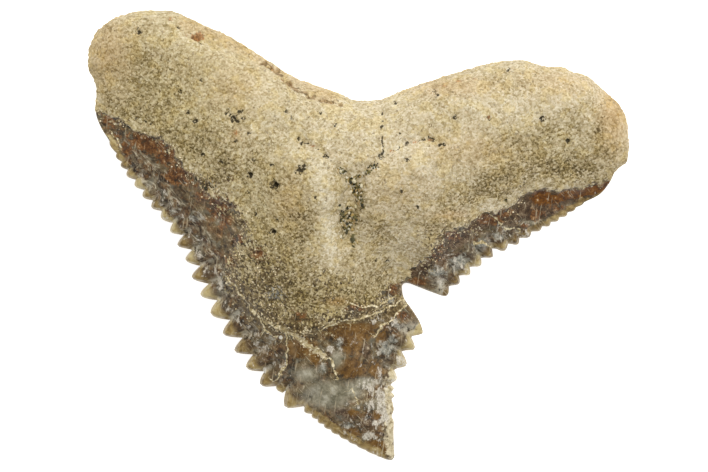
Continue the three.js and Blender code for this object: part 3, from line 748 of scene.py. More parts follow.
ochre = spots(
    (-12.9, 9.4, 1.3, 1.9, 0.6), (13.2, 6.3, 0.9, 2, 0.8), (10.6, 7.9, 2.2, 0.8, 0.4),
    (-6.4, 7.7, 1.6, 1.3, 0.35), (-3.6, 1.8, 0.8, 1.4, 0.4), (6, 4.4, 2.4, 0.8, 0.35),
    (4.9, 7.7, 2.4, 0.5, 0.5), (-6.3, 5.2, 0.3, 0.3, 0.6), (-8.2, 9, 2.6, 1.4, 0.15),
    (1.8, 2.4, 2, 1.4, 0.2), (4.8, 1.1, 1, 0.25, 0.6), (-1.1, -3.35, 0.6, 0.25, 1),
    lines=[(0.45, 0.4, [(-9, 11), (-6.2, 9.9), (-4.1, 8.8), (-1.4, 7.1)])])
pit_rust = spots(
    (-8.3, 10.33, 0.34, 0.2, 1), (-8.8, 10.4, 0.14, 0.14, 0.6), (-8, 10.2, 0.12, 0.12, 0.7),
    (-9.7, 11.2, 0.17, 0.17, 0.6), (-4.4, 8.7, 0.16, 0.16, 0.6), (-3.5, 7.8, 0.2, 0.2, 0.6),
    (-3.9, 8.1, 0.12, 0.12, 0.6), (6.7, 6.1, 0.11, 0.11, 0.8), (-6.3, 5.3, 0.14, 0.14, 0.6),
    (2.9, 4.85, 0.22, 0.12, 0.6), (1.65, 4.4, 0.22, 0.12, 0.55), (-2.3, 4.65, 0.3, 0.12, 0.55),
    (3.7, 5, 0.2, 0.12, 0.6), (5.2, 8, 0.3, 0.12, 0.5), (6, 8.1, 0.3, 0.1, 0.45),
    (4.4, 7.75, 0.25, 0.1, 0.5))
groove_dirt = spots(
    (-0.81, 3.3, 0.22, 0.2, 1), (-0.4, 2.9, 0.2, 0.3, 1), (0, 3.05, 0.2, 0.12, 0.8),
    (0.4, 3.25, 0.25, 0.14, 0.9), (0.8, 3.55, 0.25, 0.16, 1), (-0.15, 2.35, 0.26, 0.34, 1),
    (0.12, 1.75, 0.16, 0.36, 0.8), (-0.5, 1.45, 0.2, 0.18, 1), (-0.8, 1.2, 0.22, 0.14, 0.8),
    (-0.85, 0.85, 0.2, 0.18, 1), (-0.27, 0.9, 0.26, 0.3, 1), (-0.6, 0.5, 0.34, 0.26, 1),
    (-0.9, -0.05, 0.12, 0.18, 0.8), (-0.2, -0.35, 0.3, 0.3, 0.45), (0.22, 1.43, 0.12, 0.12, 0.8),
    (7.6, 1.85, 0.12, 0.12, 0.9), (-0.55, 1, 0.5, 0.8, 0.5), (0.15, 2, 0.2, 0.3, 0.6),
    (-7.7, 2.7, 0.45, 0.3, 0.6), (-8.5, 2.9, 0.4, 0.2, 0.5))
groove_dirt *= upper
olive = spots(
    (-9.6, 7, 4.6, 4.6, 1), (-4.8, 1, 2.6, 4.4, 0.9), (-1.5, -3.6, 4.4, 1.6, 0.9),
    (9.6, 4.6, 3.6, 1.2, 0.5))
rim_brown = spots(
    (-4.87, 8.92, 0.22, 0.13, 1.1), (-4.12, 8.48, 0.13, 0.25, 1.1), (-3.57, 7.88, 0.2, 0.2, 1.1),
    (-3.2, 7.6, 0.25, 0.1, 0.8), (-2.4, 7.25, 0.2, 0.07, 0.7))
print("share of the inner face with dusk:", (dark_sand_and_shade[upper] > 0.3).mean().round(2))

# %% Stains of the enamel, with a painted sheen
RUST_BAND = [
    (-13.2, 6.2), (-12.6, 5.4), (-11.9, 5.05), (-11.2, 4.7), (-10.5, 4.3),
    (-9.9, 3.75), (-9.2, 3.05), (-8.6, 2.6), (-8, 2), (-7.3, 1.55), (-6.9, 0.9), (-7.2, 0.3)]
rust = spots(
    (-12.9, 6, 0.3, 0.35, 0.8), (-12.1, 4.5, 0.45, 0.5, 0.8), (-11.4, 5, 0.5, 0.35, 0.9),
    (-10.8, 4.7, 0.7, 0.5, 1.1), (-10.1, 4, 0.5, 0.4, 1.1), (-9.4, 3.1, 0.65, 0.5, 1.1),
    (-9.9, 4.5, 0.5, 0.4, 0.7), (-8.1, 2.2, 0.5, 0.5, 0.7), (-7.3, 1.4, 0.65, 0.75, 1),
    (-7, 0.7, 0.4, 0.4, 0.8), (-6.2, -0.2, 0.4, 0.3, 1), (-5.1, -0.9, 0.45, 0.45, 1),
    (-6.7, -1.3, 0.4, 0.4, 0.7), (-3.05, -4.15, 0.7, 0.4, 0.5), (-0.1, -3.7, 0.6, 0.25, 0.7),
    (1.8, -2.75, 0.35, 0.45, 0.7), (2.4, -4.1, 0.35, 0.3, 0.9), (4.2, -0.7, 0.3, 0.3, 0.7),
    (4.9, 0, 0.6, 0.3, 1), (6.8, 0.8, 0.7, 0.3, 1), (9.3, 1.1, 0.5, 0.3, 0.9),
    (7.6, 1.1, 0.5, 0.25, 0.9), (3.1, -2.4, 0.5, 0.3, 1), (8.6, 0.55, 0.3, 0.2, 0.8),
    (10.4, 1.5, 0.6, 0.2, 0.7), (4, -1.1, 0.5, 0.3, 0.7), lines=[(0.5, 0.42, RUST_BAND)])
under_ledge = np.exp(-(((border + 0.45) / 0.6) ** 2)) * smooth(plan[:, 0], 2.2, 3.2)
chocolate = np.maximum(0.75 * under_ledge, spots(
    (2.85, -1.95, 0.4, 0.4, 0.7), (4.4, -2.5, 0.4, 0.2, 0.8), (-8, 2, 0.6, 0.5, 0.9),
    (8.8, 1, 1, 0.3, 0.9), (-6, -1.9, 0.5, 0.9, 0.5), (-3.9, -6.6, 0.9, 1.1, 0.6),
    (-4.9, -5.2, 0.7, 0.7, 0.5), (-5.9, -3.6, 0.5, 0.8, 0.5), (-0.6, -9.4, 1.2, 0.35, 0.7),
    (0.4, -9.9, 0.9, 0.7, 0.7), (2.4, -3.1, 0.4, 0.4, 0.8), (5.8, 0.2, 0.45, 0.35, 0.9),
    (8.8, 1.3, 0.5, 0.35, 0.9), (0.45, -6, 0.35, 0.6, 0.8), (-0.9, -9.1, 0.6, 0.25, 0.9),
    (-4.8, -6.2, 0.5, 0.5, 0.6), (9.3, 1.3, 1.6, 0.5, 1), (11.2, 2, 1.2, 0.3, 0.8),
    (7.4, 0.9, 1, 0.35, 0.8)))
soil = spots(
    (-3.4, -3.2, 2.8, 2, 1.2), (-0.2, -3.6, 2.6, 1, 1.2), (-5.6, -2, 1, 1.6, 0.9),
    (-4.6, -0.6, 1.2, 1.4, 0.7), (4.3, 0.2, 1.2, 0.5, 0.8), (-7.7, 2.7, 0.6, 0.4, 0.9),
    (-3.9, -4.9, 0.5, 0.3, 0.9))
amber = spots((9.5, 1.95, 0.5, 0.36, 1), lines=[
    (0.9, 0.19, [(10, 1.85), (10.6, 2), (11.4, 2.2), (12.2, 2.4), (12.9, 2.6), (13.4, 3)])])
caramel = spots(
    (-0.4, -4.95, 1.15, 0.55, 1.3), (-0.3, -5.7, 0.7, 0.5, 0.7), (-0.45, -6.8, 0.7, 0.5, 1),
    (0.4, -4.6, 0.7, 0.4, 1), (1.3, -5.3, 0.4, 0.5, 0.6), (-3.1, -5.8, 0.55, 0.55, 1.2),
    (-2.3, -6.2, 0.35, 0.6, 0.8), (-3.05, -4.2, 0.7, 0.45, 1), (0.9, -6.9, 0.5, 0.6, 0.6),
    (0.9, -11, 0.8, 0.4, 1), (-0.5, -10.2, 1, 0.35, 0.6), (1, -9.3, 0.35, 0.2, 0.8),
    (-0.35, -9.2, 0.5, 0.25, 0.7))
bluish = spots(
    (1.5, -5.85, 0.6, 0.48, 1), (1.75, -5.4, 0.45, 0.35, 0.9), (2.15, -4.7, 0.35, 0.3, 0.7),
    (-0.95, -5.6, 0.45, 0.5, 0.7), (-0.55, -9.85, 0.5, 0.25, 0.8), (1.65, -3.3, 0.35, 0.4, 0.8),
    (-4.2, -3, 0.7, 0.6, 0.8), (-6.3, -4, 0.4, 0.4, 0.7), (-8.6, -0.9, 0.35, 0.6, 0.8),
    (-9.6, 1.3, 0.5, 0.4, 0.6), (7.3, 0, 0.5, 0.3, 0.7), (-4.6, -5.4, 0.4, 0.5, 0.6),
    (5.3, -1.3, 0.7, 0.45, 1), (4.4, -2.6, 0.5, 0.3, 0.8), (6.3, -0.5, 0.45, 0.45, 0.9),
    (4, -1.9, 0.6, 0.4, 0.85), (-8.4, 0.9, 0.5, 0.4, 0.75), (-1.9, -6.9, 0.4, 0.4, 0.7),
    (4.3, -1.9, 0.35, 0.3, 0.8), (-7.1, -2.6, 0.3, 0.5, 0.7))
milk = spots(
    (-1.6, -8.2, 1.5, 0.8, 1), (-0.35, -8, 0.75, 0.6, 0.8), (-1.1, -6.4, 0.5, 0.6, 0.75),
    (0.35, -7.6, 0.7, 0.35, 0.85), (-1.9, -6.9, 0.4, 0.3, 0.6), (-2.7, -7.2, 0.9, 0.5, 0.75),
    (-3.4, -5.9, 0.3, 0.8, 0.3))
flaky = spots(
    (0.9, -8.3, 0.7, 0.8, 0.8), (0.4, -8.95, 0.7, 0.16, 1.3), (1, -9.7, 0.3, 0.25, 1.2),
    (0.6, -10.4, 0.6, 0.3, 1.2), (1.3, -10.3, 0.3, 0.3, 1.1), (0.2, -9.4, 1.2, 0.7, 0.6),
    (2.1, -6.7, 0.45, 0.9, 0.9), (2, -4.6, 0.8, 0.5, 0.7), (1.5, -7.6, 0.45, 0.45, 1),
    (0.8, -6, 0.9, 0.8, 0.35), (4.3, -2.3, 0.4, 0.2, 1.2), (1.2, -8.9, 0.5, 1.9, 1.1),
    (0.6, -7.7, 0.5, 0.45, 1.4), (0.5, -8.8, 0.4, 0.4, 1.1), (1.2, -4.4, 0.4, 0.3, 1.1),
    (2, -6, 0.35, 0.35, 0.8), (-1.3, -6, 0.3, 0.3, 1), (5, -1.6, 1.4, 0.6, 0.7),
    (7.6, 0.1, 1.6, 0.6, 0.6), (-0.1, -5.5, 0.35, 0.35, 0.7), lines=[(0.55, 0.6, [
        (-11.4, 3.4), (-9.6, 1.2), (-8.2, -0.7), (-7.2, -2.6), (-5.8, -4.8), (-4.2, -6.8)])])
bead = spots(
    (-4.1, -5.3, 0.11, 0.11, 1), (-4.75, -5.05, 0.08, 0.07, 1), (-4.9, -7, 0.1, 0.2, 1),
    (-5.15, -6, 0.08, 0.08, 0.7))
# Grey streaks along the left blade and the heel: greyer enamel with a painted sheen, pale streaks
# laid into the colour where the enamel reflects the light.
lilac_and_sheen = spots(lines=[
    (1, 0.85, [(-12, 4.4), (-10.7, 2.8), (-9.4, 1.2), (-8.2, -0.6), (-7.2, -2.6), (-5.9, -4.6)]),
    (0.75, 0.5, [(3.9, -2.3), (5.4, -1.3), (7, -0.1), (8.8, 0.9), (10.8, 1.7)])])
cream_back = spots(lines=[(1, 0.38, [(1.75, -7.2), (1.66, -9.2), (1.75, -11.2)])])
print("share of the inner face with rust:", (rust[upper] > 0.4).mean().round(2))

# %% Honey of the edge, with painted shade in the clefts
blunt = smooth(plan[:, 1], -8.6, -9.6) * (plan[:, 0] < 1.3)  # the tip's front edge is plain
honey = smooth(-inwards, -0.56 - 0.04 * blunt, 0.03 - 0.28 * blunt)
denticle_tone = mix(denticle_tone, 0.4, blunt)
honey = np.maximum(honey, spots((2.55, -5.5, 0.45, 0.3, 0.6), (2.1, -6.5, 0.4, 0.4, 0.6)))
heart = np.exp(-(((across_denticle - 0.5) / 0.3) ** 2) - ((inwards - 0.3) / 0.26) ** 2) * stout
valley = (1 - rib) ** 2 * np.exp(-(((inwards - 0.35) / 0.35) ** 2)) * stout
# Painted shade: a dark brown line on the tipward flank of each denticle, by the edge, where the
# cleft to the next denticle lies in shade.
cleft_shade = smooth(across_denticle, 0.62, 0.95) * np.exp(-(((inwards + 0.02) / 0.2) ** 2)) * stout
lip = 1 - smooth(edge_gap, 0.02, 0.16)
print("points under honey:", (honey > 0.5).sum())

# %% The mesh of the tooth
tooth_mesh = bpy.data.meshes.new("tiger_shark_tooth")
tooth_mesh.from_pydata((points * MM).tolist(), [], faces.tolist())
tooth_mesh.shade_smooth()
ON_BOTH_FACES = {
    "sand": sand, "honey": honey, "heart": heart, "lip": lip, "denticle_tone": denticle_tone,
    "valley": valley, "cleft_shade": cleft_shade}
ON_THE_INNER_FACE = {
    "dark_sand_and_shade": dark_sand_and_shade, "pale": pale, "ochre": ochre, "olive": olive, "pit_rust": pit_rust,
    "rim_brown": rim_brown, "groove_dirt": groove_dirt, "rust": rust, "chocolate": chocolate,
    "soil": soil, "bluish": bluish, "amber": amber, "caramel": caramel, "milk": milk,
    "flaky": flaky, "bead": bead, "lilac_and_sheen": lilac_and_sheen, "cream_back": cream_back}
GAPS = {"along_edge": along, "in_from_edge": edge_gap, "pit_gap": pit_gap,
        "crack_gap": crack_gap, "rim_gap": rim_gap, "vein_gap": vein_gap}
PALEST = -0.5  # dusk below 0 makes a place paler


def paint(name, values):
    """Stores one value for each point of the tooth under a name that the material can ask for."""
    stored = tooth_mesh.attributes.new(name, "FLOAT", "POINT")
    stored.data.foreach_set("value", values.astype(np.float32))


for name, values in ON_BOTH_FACES.items():
    paint(name, np.clip(values, 0, 1))
for name, values in ON_THE_INNER_FACE.items():
    paint(name, np.clip(values, PALEST, 1) * upper)
for name, gap in GAPS.items():
    paint(name, gap)
tooth = into_scene("tiger_shark_tooth", tooth_mesh)
print("tooth:", len(tooth_mesh.vertices), "points,", len(tooth_mesh.polygons), "triangles")

# %% [markdown]
# ## The material
#
# One material shows both sand and enamel, because on the fossil they blend into each other. The
# sandy bone is a crowd of grains, each with its own tone: Voronoi cells give every grain a
# random number, and a colour ramp turns it into soil, tan, buff or cream. Whether a spot is
# sand or enamel is also decided grain by grain, so the border looks like grains and not like a
# soft brush. The helpers below let us write the nodes as formulas.

# %% Node helpers
def srgb(red, green, blue):
    """A colour as seen in an image editor, 0 to 255, in Blender's linear values."""
    def linear(value):
        value /= 255
        return value / 12.92 if value <= 0.04045 else ((value + 0.055) / 1.055) ** 2.4
    return (linear(red), linear(green), linear(blue), 1.0)


class Recipe:
    """A small helper that adds nodes to one node tree and wires them."""

    def __init__(self, tree):
        self.tree = tree

    def add(self, kind, inputs=None, **settings):
        made = self.tree.nodes.new(kind)
        for name, value in settings.items():
            setattr(made, name, value)
        for name, value in (inputs or {}).items():
            self.put(made.inputs[name], value)
        return made

    def put(self, socket, value):
        value = value.socket if isinstance(value, Number) else value
        if isinstance(value, bpy.types.NodeSocket):
            self.tree.links.new(value, socket)
        else:
            socket.default_value = value

    def maths(self, how, *values):
        made = self.add("ShaderNodeMath", dict(enumerate(values)), operation=how)
        return Number(self, made.outputs[0])

    def painted(self, name):
        """A value painted on the mesh."""
        made = self.add("ShaderNodeAttribute", attribute_name=name)
        return Number(self, made.outputs["Fac"])

    def lay(self, under, share, over, how="MIX"):
        """The under colour, with the over colour laid on by the given share."""
        over = srgb(*over) if isinstance(over, tuple) else over
        made = self.add("ShaderNodeMix", {0: share, 6: under, 7: over}, data_type="RGBA",
                        blend_type=how)
        return made.outputs[2]

    def clouds(self, where, size, detail=3.0, rough=0.55, twist=0.0):
        """Noise with clouds of about the given size in millimetres."""
        made = self.add("ShaderNodeTexNoise", {
            "Vector": where, "Scale": 1 / size, "Detail": detail, "Roughness": rough,
            "Distortion": twist})
        return Number(self, made.outputs["Fac"])

    def scratches(self, where, angle, width, length, few):
        """Fine lines at an angle; a higher number leaves fewer of them."""
        turned = self.add("ShaderNodeMapping", {"Vector": where, "Rotation": (0, 0, angle)})
        drawn = self.add("ShaderNodeMapping", {
            "Vector": turned.outputs[0], "Scale": (1 / width, 1 / length, 1.0)})
        return self.clouds(drawn.outputs[0], 1.0, 2, 0.5, 0.3).step(few, few + 0.06)


class Number:
    """A number that nodes work out. A formula with it adds the nodes that the formula needs."""

    def __init__(self, recipe, socket):
        self.recipe, self.socket = recipe, socket

    def __add__(self, other):
        return self.recipe.maths("ADD", self, other)

    def __sub__(self, other):
        return self.recipe.maths("SUBTRACT", self, other)

    def __mul__(self, other):
        return self.recipe.maths("MULTIPLY", self, other)

    def __abs__(self):
        return self.recipe.maths("ABSOLUTE", self)

    def at_least(self, other):
        return self.recipe.maths("MAXIMUM", self, other)

    def step(self, low, high):
        """0 below low, 1 above high, with a soft step."""
        made = self.recipe.add("ShaderNodeMapRange", {0: self, 1: low, 2: high},
                               interpolation_type="SMOOTHSTEP")
        return Number(self.recipe, made.outputs[0])

    def ramp(self, *stops):
        """A colour that follows the number, through stops of (number, red, green, blue)."""
        made = self.recipe.add("ShaderNodeValToRGB", {0: self})
        band = made.color_ramp.elements
        while len(band) < len(stops):
            band.new(0.5)
        for element, (at, *colour) in zip(band, stops):
            element.position, element.color = at, srgb(*colour)
        return made.outputs["Color"]


print("middle grey in Blender's values:", round(srgb(128, 128, 128)[0], 3))

# %% Sandy bone
fossil = bpy.data.materials.new("fossil")
fossil.use_nodes = True
mixer = Recipe(fossil.node_tree)
painted, clouds, lay = mixer.painted, mixer.clouds, mixer.lay
place = mixer.add("ShaderNodeTexCoord").outputs["Object"]
where = mixer.add("ShaderNodeMapping", {"Vector": place, "Scale": (1000, 1000, 1000)}).outputs[0]

GRAIN = 0.1  # millimetres across a grain of sand
jumble = mixer.add("ShaderNodeTexNoise", {"Vector": where, "Scale": 9.0, "Detail": 2.0})
jumbled = mixer.add("ShaderNodeVectorMath", {0: jumble.outputs["Color"], 1: (0.16, 0.16, 0.16),
                                             2: where}, operation="MULTIPLY_ADD").outputs[0]
grains_drawn = mixer.add("ShaderNodeTexVoronoi", {"Vector": jumbled, "Scale": 1 / GRAIN},
                         feature="F1").outputs
three = mixer.add("ShaderNodeSeparateColor", {0: grains_drawn["Color"]}).outputs
grain_tone, grain_grip, grain_kind = (Number(mixer, three[i]) for i in range(3))
broad = clouds(where, 3.2, 4)
middling = clouds(where, 0.8, 4, 0.6)
fine = clouds(where, 0.1, 3, 0.7)

# The darker places carry painted shade as well as darker sand.
dark_places = painted("dark_sand_and_shade")
grit = (grain_tone * 0.42 + fine * 0.8 - 0.61) * (dark_places * 0.5 + 0.8)
# The pale value also holds a painted highlight along the crest left of the groove.
tone = grit + middling * 0.3 + broad * 0.25 - dark_places * 0.38 + painted("pale") * 0.16 + 0.3
bone = tone.ramp((0.02, 74, 62, 36), (0.18, 110, 95, 61), (0.34, 150, 135, 98),
                 (0.52, 183, 169, 137), (0.7, 204, 193, 166), (0.92, 224, 217, 196))
tint = clouds(where, 0.7, 4, 0.65)
warm = painted("ochre") * 0.75 + grain_grip.step(0.78, 0.9) * 0.16
for share, colour in ((painted("olive"), (249, 249, 238)), (tint.step(0.49, 0.6), (254, 249, 231)),
                      (tint.step(0.49, 0.39), (250, 248, 246)), (warm, (240, 208, 160))):
    bone = lay(bone, share, colour, "MULTIPLY")

uneven = clouds(where, 0.25, 3) - 0.48
rusty_pit = (fine * 1.6 + painted("pit_rust")).step(1.15, 1.35)
rim_line = (uneven * 0.7 + abs(painted("rim_gap"))).step(0.1, 0.02)
brown_crack = rim_line.at_least((fine * 1.2 + painted("rim_brown")).step(0.98, 1.25))
in_groove = (painted("groove_dirt") - grain_grip * 0.5 - 0.12).step(0, 0.1)
groove_tone = (grain_tone * 0.8 + fine * 0.3).ramp(
    (0.2, 42, 38, 20), (0.4, 76, 72, 42), (0.54, 124, 112, 64), (0.68, 166, 136, 84),
    (0.8, 160, 154, 132), (0.94, 222, 214, 190))
dark_pore = ((grain_kind - 0.5) * 1.1 + painted("pit_gap")).step(0.75, 0.6)
crack = (uneven * 0.5 + abs(painted("crack_gap"))).step(0.045, 0.01)
dark = (dark_pore - dark_pore * rusty_pit).at_least(crack)
for share, colour in (
        (rusty_pit * 0.8, grain_tone.ramp((0.2, 114, 72, 36), (0.8, 172, 116, 58))),
        (brown_crack * 0.75, grain_tone.ramp((0.2, 88, 66, 38), (0.8, 142, 112, 68))),
        (grain_kind.step(0.976, 0.985) * 0.5, (92, 76, 50)), (in_groove, groove_tone),
        (dark * 0.92, (42, 35, 20))):
    bone = lay(bone, share, colour)
print("bone:", len(fossil.node_tree.nodes), "nodes")

# %% [markdown]
# ## Enamel
#
# Fossil enamel is glassy and brown, with milky, rusty and grey places that run into each other,
# and the denticles are thin enough to look honey-coloured. A picture wrapped round the tooth
# would be wrong from the side, so the brown is a mottled noise on a colour ramp. Each stain is
# then laid over it in turn, with its own ramp and with a border made ragged by noise. The grey
# streaks along the left blade and the heel are partly a painted sheen.

# %% Mottled enamel
mottle = clouds(where, 1.3, 6, 0.66, 0.8)
small_mottle = clouds(where, 0.28, 5, 0.65, 0.4)
tiny = clouds(where, 0.1, 3, 0.75)
hue = clouds(where, 0.5, 4, 0.6, 0.5)
edge_place = mixer.add("ShaderNodeCombineXYZ", {
    0: painted("along_edge") * 0.9, 1: painted("in_from_edge") * 2.2, 2: 3.1}).outputs[0]
edge_streaks = clouds(edge_place, 0.8, 5, 0.62, 1.2)
speckle = tiny * 0.35 + small_mottle * 0.65
mottled = speckle * 0.6 + mottle * 0.4
milky = speckle * 0.4 + clouds(where, 0.5, 5, 0.6) * 0.6


def stain(name, ragged, low, high):
    """A painted value whose border is ragged, because a little noise is added to it."""
    return ((small_mottle - 0.5) * ragged + painted(name)).step(low, high)


enamel = mottled.ramp((0.41, 38, 30, 19), (0.46, 68, 55, 35), (0.51, 97, 80, 52),
                      (0.56, 122, 106, 76), (0.62, 174, 162, 136))
for share, colour in (
        # greyer enamel streaks with a painted sheen
        (stain("lilac_and_sheen", 0.9, 0.25, 0.65), (speckle * 0.35 + edge_streaks * 0.65).ramp(
            (0.41, 36, 28, 18), (0.46, 70, 57, 42), (0.5, 95, 82, 62), (0.55, 126, 115, 92),
            (0.61, 188, 179, 156))),
        (hue.step(0.51, 0.6) * 0.6, speckle.ramp((0.42, 58, 36, 18), (0.55, 118, 84, 46))),
        (hue.step(0.45, 0.36) * 0.5, (112, 110, 94)),
        (stain("caramel", 1, 0.2, 0.5), mottled.ramp(
            (0.4, 66, 44, 15), (0.48, 99, 70, 27), (0.55, 121, 89, 43), (0.62, 148, 123, 82))),
        (stain("chocolate", 1.8, 0.45, 0.7), speckle.ramp(
            (0.4, 40, 27, 16), (0.5, 76, 56, 36), (0.58, 116, 98, 76))),
        (stain("soil", 1.2, 0.3, 0.6), speckle.ramp(
            (0.4, 46, 35, 17), (0.5, 82, 66, 37), (0.6, 126, 108, 72))),
        (painted("milk").step(0.15, 0.8), milky.ramp(
            (0.38, 92, 88, 68), (0.5, 133, 127, 106), (0.62, 174, 169, 150))),
        (stain("bluish", 1.8, 0.4, 0.8) * 0.85, speckle.ramp(
            (0.42, 84, 84, 78), (0.5, 122, 122, 112), (0.58, 172, 170, 158))),
        (stain("rust", 2.4, 0.4, 0.62), speckle.ramp(
            (0.4, 46, 28, 12), (0.48, 80, 50, 23), (0.55, 112, 73, 36), (0.62, 144, 110, 70))),
        (stain("amber", 0.9, 0.2, 0.42), speckle.ramp(
            (0.42, 62, 34, 3), (0.5, 96, 56, 5), (0.6, 124, 78, 16)))):
    enamel = lay(enamel, share, colour)
print("with the enamel:", len(fossil.node_tree.nodes), "nodes")

# %% Honey edge, flakes and scratches
chips = mixer.add("ShaderNodeMapping", {"Vector": where, "Rotation": (0, 0, 0.6),
                                        "Scale": (1.0, 0.55, 1.0)}).outputs[0]
chip = (painted("flaky") * 0.2 + clouds(chips, 0.3, 5, 0.7)).step(0.63, 0.72)
scratched = mixer.scratches(where, 0.15, 0.08, 1.6, 0.65).at_least(
    mixer.scratches(where, -0.75, 0.07, 1.1, 0.66))
for share, colour in (
        (stain("honey", 1, 0.3, 0.75) * 0.9, (
            painted("denticle_tone") * 0.35 + small_mottle * 0.8).ramp(
            (0.36, 82, 62, 30), (0.5, 126, 104, 59), (0.62, 155, 134, 86), (0.76, 184, 168, 121))),
        (stain("heart", 0.8, 0.3, 0.9) * 0.6, (80, 62, 42)),
        # painted shade in the cleft beside each denticle
        (painted("cleft_shade") * 0.7, (92, 66, 36)),
        (painted("valley") * speckle.step(0.4, 0.54) * 0.8, (186, 180, 162)),
        (stain("lip", 0.8, 0.4, 1) * 0.3, (186, 168, 126)),
        (stain("cream_back", 3, 0.35, 0.85) * 0.85, speckle.ramp(
            (0.4, 150, 134, 98), (0.58, 214, 203, 172))),
        (chip * 0.85, tiny.ramp((0.4, 160, 152, 136), (0.6, 214, 207, 192))),
        (scratched * 0.5, (190, 176, 146)), (stain("bead", 0.5, 0.35, 0.6), (206, 202, 190))):
    enamel = lay(enamel, share, colour)
print("with the edge and the flakes:", len(fossil.node_tree.nodes), "nodes")

# %% Sand over enamel, grain by grain
vein = (uneven * 0.2 + abs(painted("vein_gap"))).step(0.065, 0.03)
vein_tone = (grain_tone * 0.25 + fine * 0.75).ramp(
    (0.38, 136, 118, 78), (0.5, 190, 174, 132), (0.62, 226, 216, 186))
covered = (painted("sand") + fine * 0.5 - grain_grip * 0.64 - 0.45).step(-0.06, 0.06)
covered = covered.at_least(vein)
relief = fine * 0.8 - Number(mixer, grains_drawn["Distance"])
glaze = small_mottle * 1.2 + tiny * 0.25
bump = mixer.add("ShaderNodeBump", {"Strength": 0.5, "Distance": 0.00005,
                                    "Height": covered * (relief - glaze) + glaze})
shader = fossil.node_tree.nodes["Principled BSDF"]
shader.inputs["Specular IOR Level"].default_value = 0.3
mixer.put(shader.inputs["Base Color"], lay(enamel, covered, lay(bone, vein, vein_tone)))
mixer.put(shader.inputs["Roughness"], covered * 0.56 + 0.34)
mixer.put(shader.inputs["Normal"], bump.outputs["Normal"])
tooth_mesh.materials.append(fossil)
print("fossil material:", len(fossil.node_tree.nodes), "nodes")

# %% [markdown]
# ## Loose grains
#
# Coarse grains are stuck in the groove, dark mineral and yellow sand, and pale crumbs sit on
# the ledge. They are scattered with Geometry Nodes: points fall on the tooth's surface where a
# painted value allows it, and each point gets a small, randomly turned and squashed pebble.

# %% A scatter of grains as a node group
FULL_TURN = 6.28


def scatter_group():
    """Node group: grains on a surface, where the attribute called Mask is high."""
    tree = bpy.data.node_groups.new("scatter grains", "GeometryNodeTree")
    for name, kind in (("Geometry", "Geometry"), ("Mask", "String"),
                       ("Most per square mm", "Float"), ("Smallest mm", "Float"),
                       ("Largest mm", "Float"), ("Seed", "Int"), ("Material", "Material")):
        tree.interface.new_socket(name, in_out="INPUT", socket_type="NodeSocket" + kind)
    tree.interface.new_socket("Geometry", in_out="OUTPUT", socket_type="NodeSocketGeometry")
    recipe = Recipe(tree)
    given = recipe.add("NodeGroupInput").outputs
    mask = recipe.add("GeometryNodeInputNamedAttribute", {"Name": given["Mask"]},
                      data_type="FLOAT").outputs["Attribute"]
    # Areas are in square metres here, so a density per square millimetre is a million times more
    most = Number(recipe, given["Most per square mm"]) * 1e6
    scattered = recipe.add("GeometryNodeDistributePointsOnFaces", {
        "Mesh": given["Geometry"], "Density": Number(recipe, mask) * most, "Seed": given["Seed"]})
    pebble = recipe.add("GeometryNodeMeshIcoSphere", {"Radius": 0.5, "Subdivisions": 1})
    size = recipe.add("FunctionNodeRandomValue", {
        2: given["Smallest mm"], 3: given["Largest mm"], "Seed": given["Seed"]},
        data_type="FLOAT")
    squash = recipe.add("FunctionNodeRandomValue", {0: (0.6, 0.6, 0.5), 1: (1.3, 1.1, 0.9)},
                        data_type="FLOAT_VECTOR")
    metres = Number(recipe, size.outputs[1]) * MM
    shape = recipe.add("ShaderNodeVectorMath", {0: squash.outputs[0], "Scale": metres},
                       operation="SCALE")
    turn = recipe.add("FunctionNodeRandomValue", {1: (FULL_TURN,) * 3}, data_type="FLOAT_VECTOR")
    placed = recipe.add("GeometryNodeInstanceOnPoints", {
        "Points": scattered.outputs["Points"], "Instance": pebble.outputs["Mesh"],
        "Rotation": turn.outputs[0], "Scale": shape.outputs[0]})
    grain = recipe.add("FunctionNodeRandomValue", data_type="FLOAT")
    toned = recipe.add("GeometryNodeStoreNamedAttribute", {
        "Geometry": placed.outputs["Instances"], "Name": "tone", "Value": grain.outputs[1]},
        data_type="FLOAT", domain="INSTANCE")
    real = recipe.add("GeometryNodeRealizeInstances", {0: toned.outputs[0]})
    dressed = recipe.add("GeometryNodeSetMaterial", {
        "Geometry": real.outputs[0], "Material": given["Material"]})
    recipe.add("NodeGroupOutput", {0: dressed.outputs[0]})
    return tree


scatter = scatter_group()
print("scatter group:", len(scatter.nodes), "nodes")


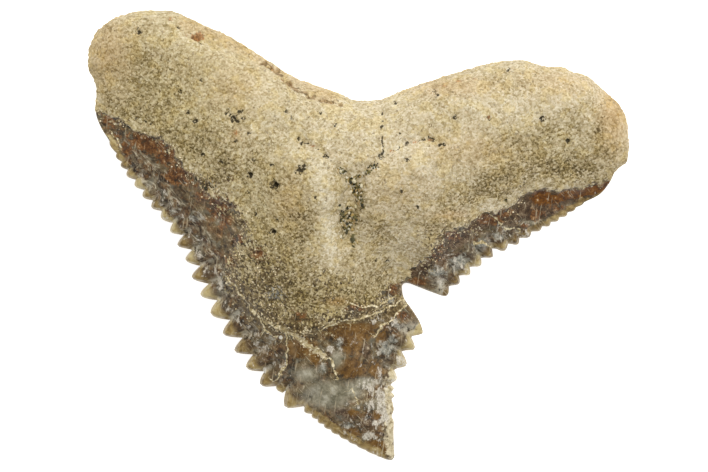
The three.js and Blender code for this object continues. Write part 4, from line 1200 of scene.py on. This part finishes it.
def scatter_on_tooth(name, mask, most, smallest, largest, seed, material):
    """An object of grains that lie on the tooth where the mask is high, as a plain mesh."""
    made = into_scene(name, tooth_mesh.copy())
    modifier = made.modifiers.new("grains", "NODES")
    modifier.node_group = scatter
    wanted = {"Mask": mask, "Most per square mm": most, "Smallest mm": smallest,
              "Largest mm": largest, "Seed": seed, "Material": material}
    for item in scatter.interface.items_tree:
        if item.in_out == "INPUT" and item.name in wanted:
            modifier[item.identifier] = wanted[item.name]
    evaluated = made.evaluated_get(bpy.context.evaluated_depsgraph_get())
    grains_only = bpy.data.meshes.new_from_object(evaluated)
    made.modifiers.clear()
    made.data = grains_only
    print(name + ":", len(grains_only.polygons) // 20, "grains")
    return made


# %% Grain materials
def grain_material(name, roughness, *stops):
    """Each grain takes its own colour from the stops, by its random tone."""
    material = bpy.data.materials.new(name)
    material.use_nodes = True
    recipe = Recipe(material.node_tree)
    shader = material.node_tree.nodes["Principled BSDF"]
    place = recipe.add("ShaderNodeTexCoord").outputs["Object"]
    tone = recipe.clouds(place, 0.08 * MM, 3, 0.6) * 0.3 + recipe.painted("tone") - 0.15
    recipe.put(shader.inputs["Base Color"], tone.ramp(*stops))
    shader.inputs["Roughness"].default_value = roughness
    return material


groove_grain = grain_material(
    "groove grain", 0.85, (0, 38, 36, 22), (0.3, 62, 60, 38), (0.46, 112, 104, 60),
    (0.62, 164, 138, 80), (0.8, 184, 174, 136), (0.98, 216, 208, 182))
crumb = grain_material(
    "crumb", 0.9, (0, 120, 102, 72), (0.3, 176, 156, 116), (0.6, 206, 188, 148),
    (1, 230, 218, 188))
print("grain materials:", groove_grain.name, "and", crumb.name)

# %% Scatter them
near_ledge = np.exp(-((ledge / 0.35) ** 2)) * upper * (plan[:, 1] < 6.0)
near_ledge = np.maximum(near_ledge, 0.5 * patchy * (sand > 0.15) * (sand < 0.95))
near_ledge = np.maximum(near_ledge, 0.5 * veins) * (crown > 0.5) * (plan[:, 0] < 8.6)
paint("crumbs", near_ledge)

groove_sand = scatter_on_tooth("groove_sand", "groove_dirt", 15.0, 0.1, 0.28, 3, groove_grain)
ledge_crumbs = scatter_on_tooth("ledge_crumbs", "crumbs", 22.0, 0.05, 0.13, 5, crumb)

# %% Hand the pieces over
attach(tooth, "root")
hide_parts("tooth")
for loose in (groove_sand, ledge_crumbs):
    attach(loose, "root")
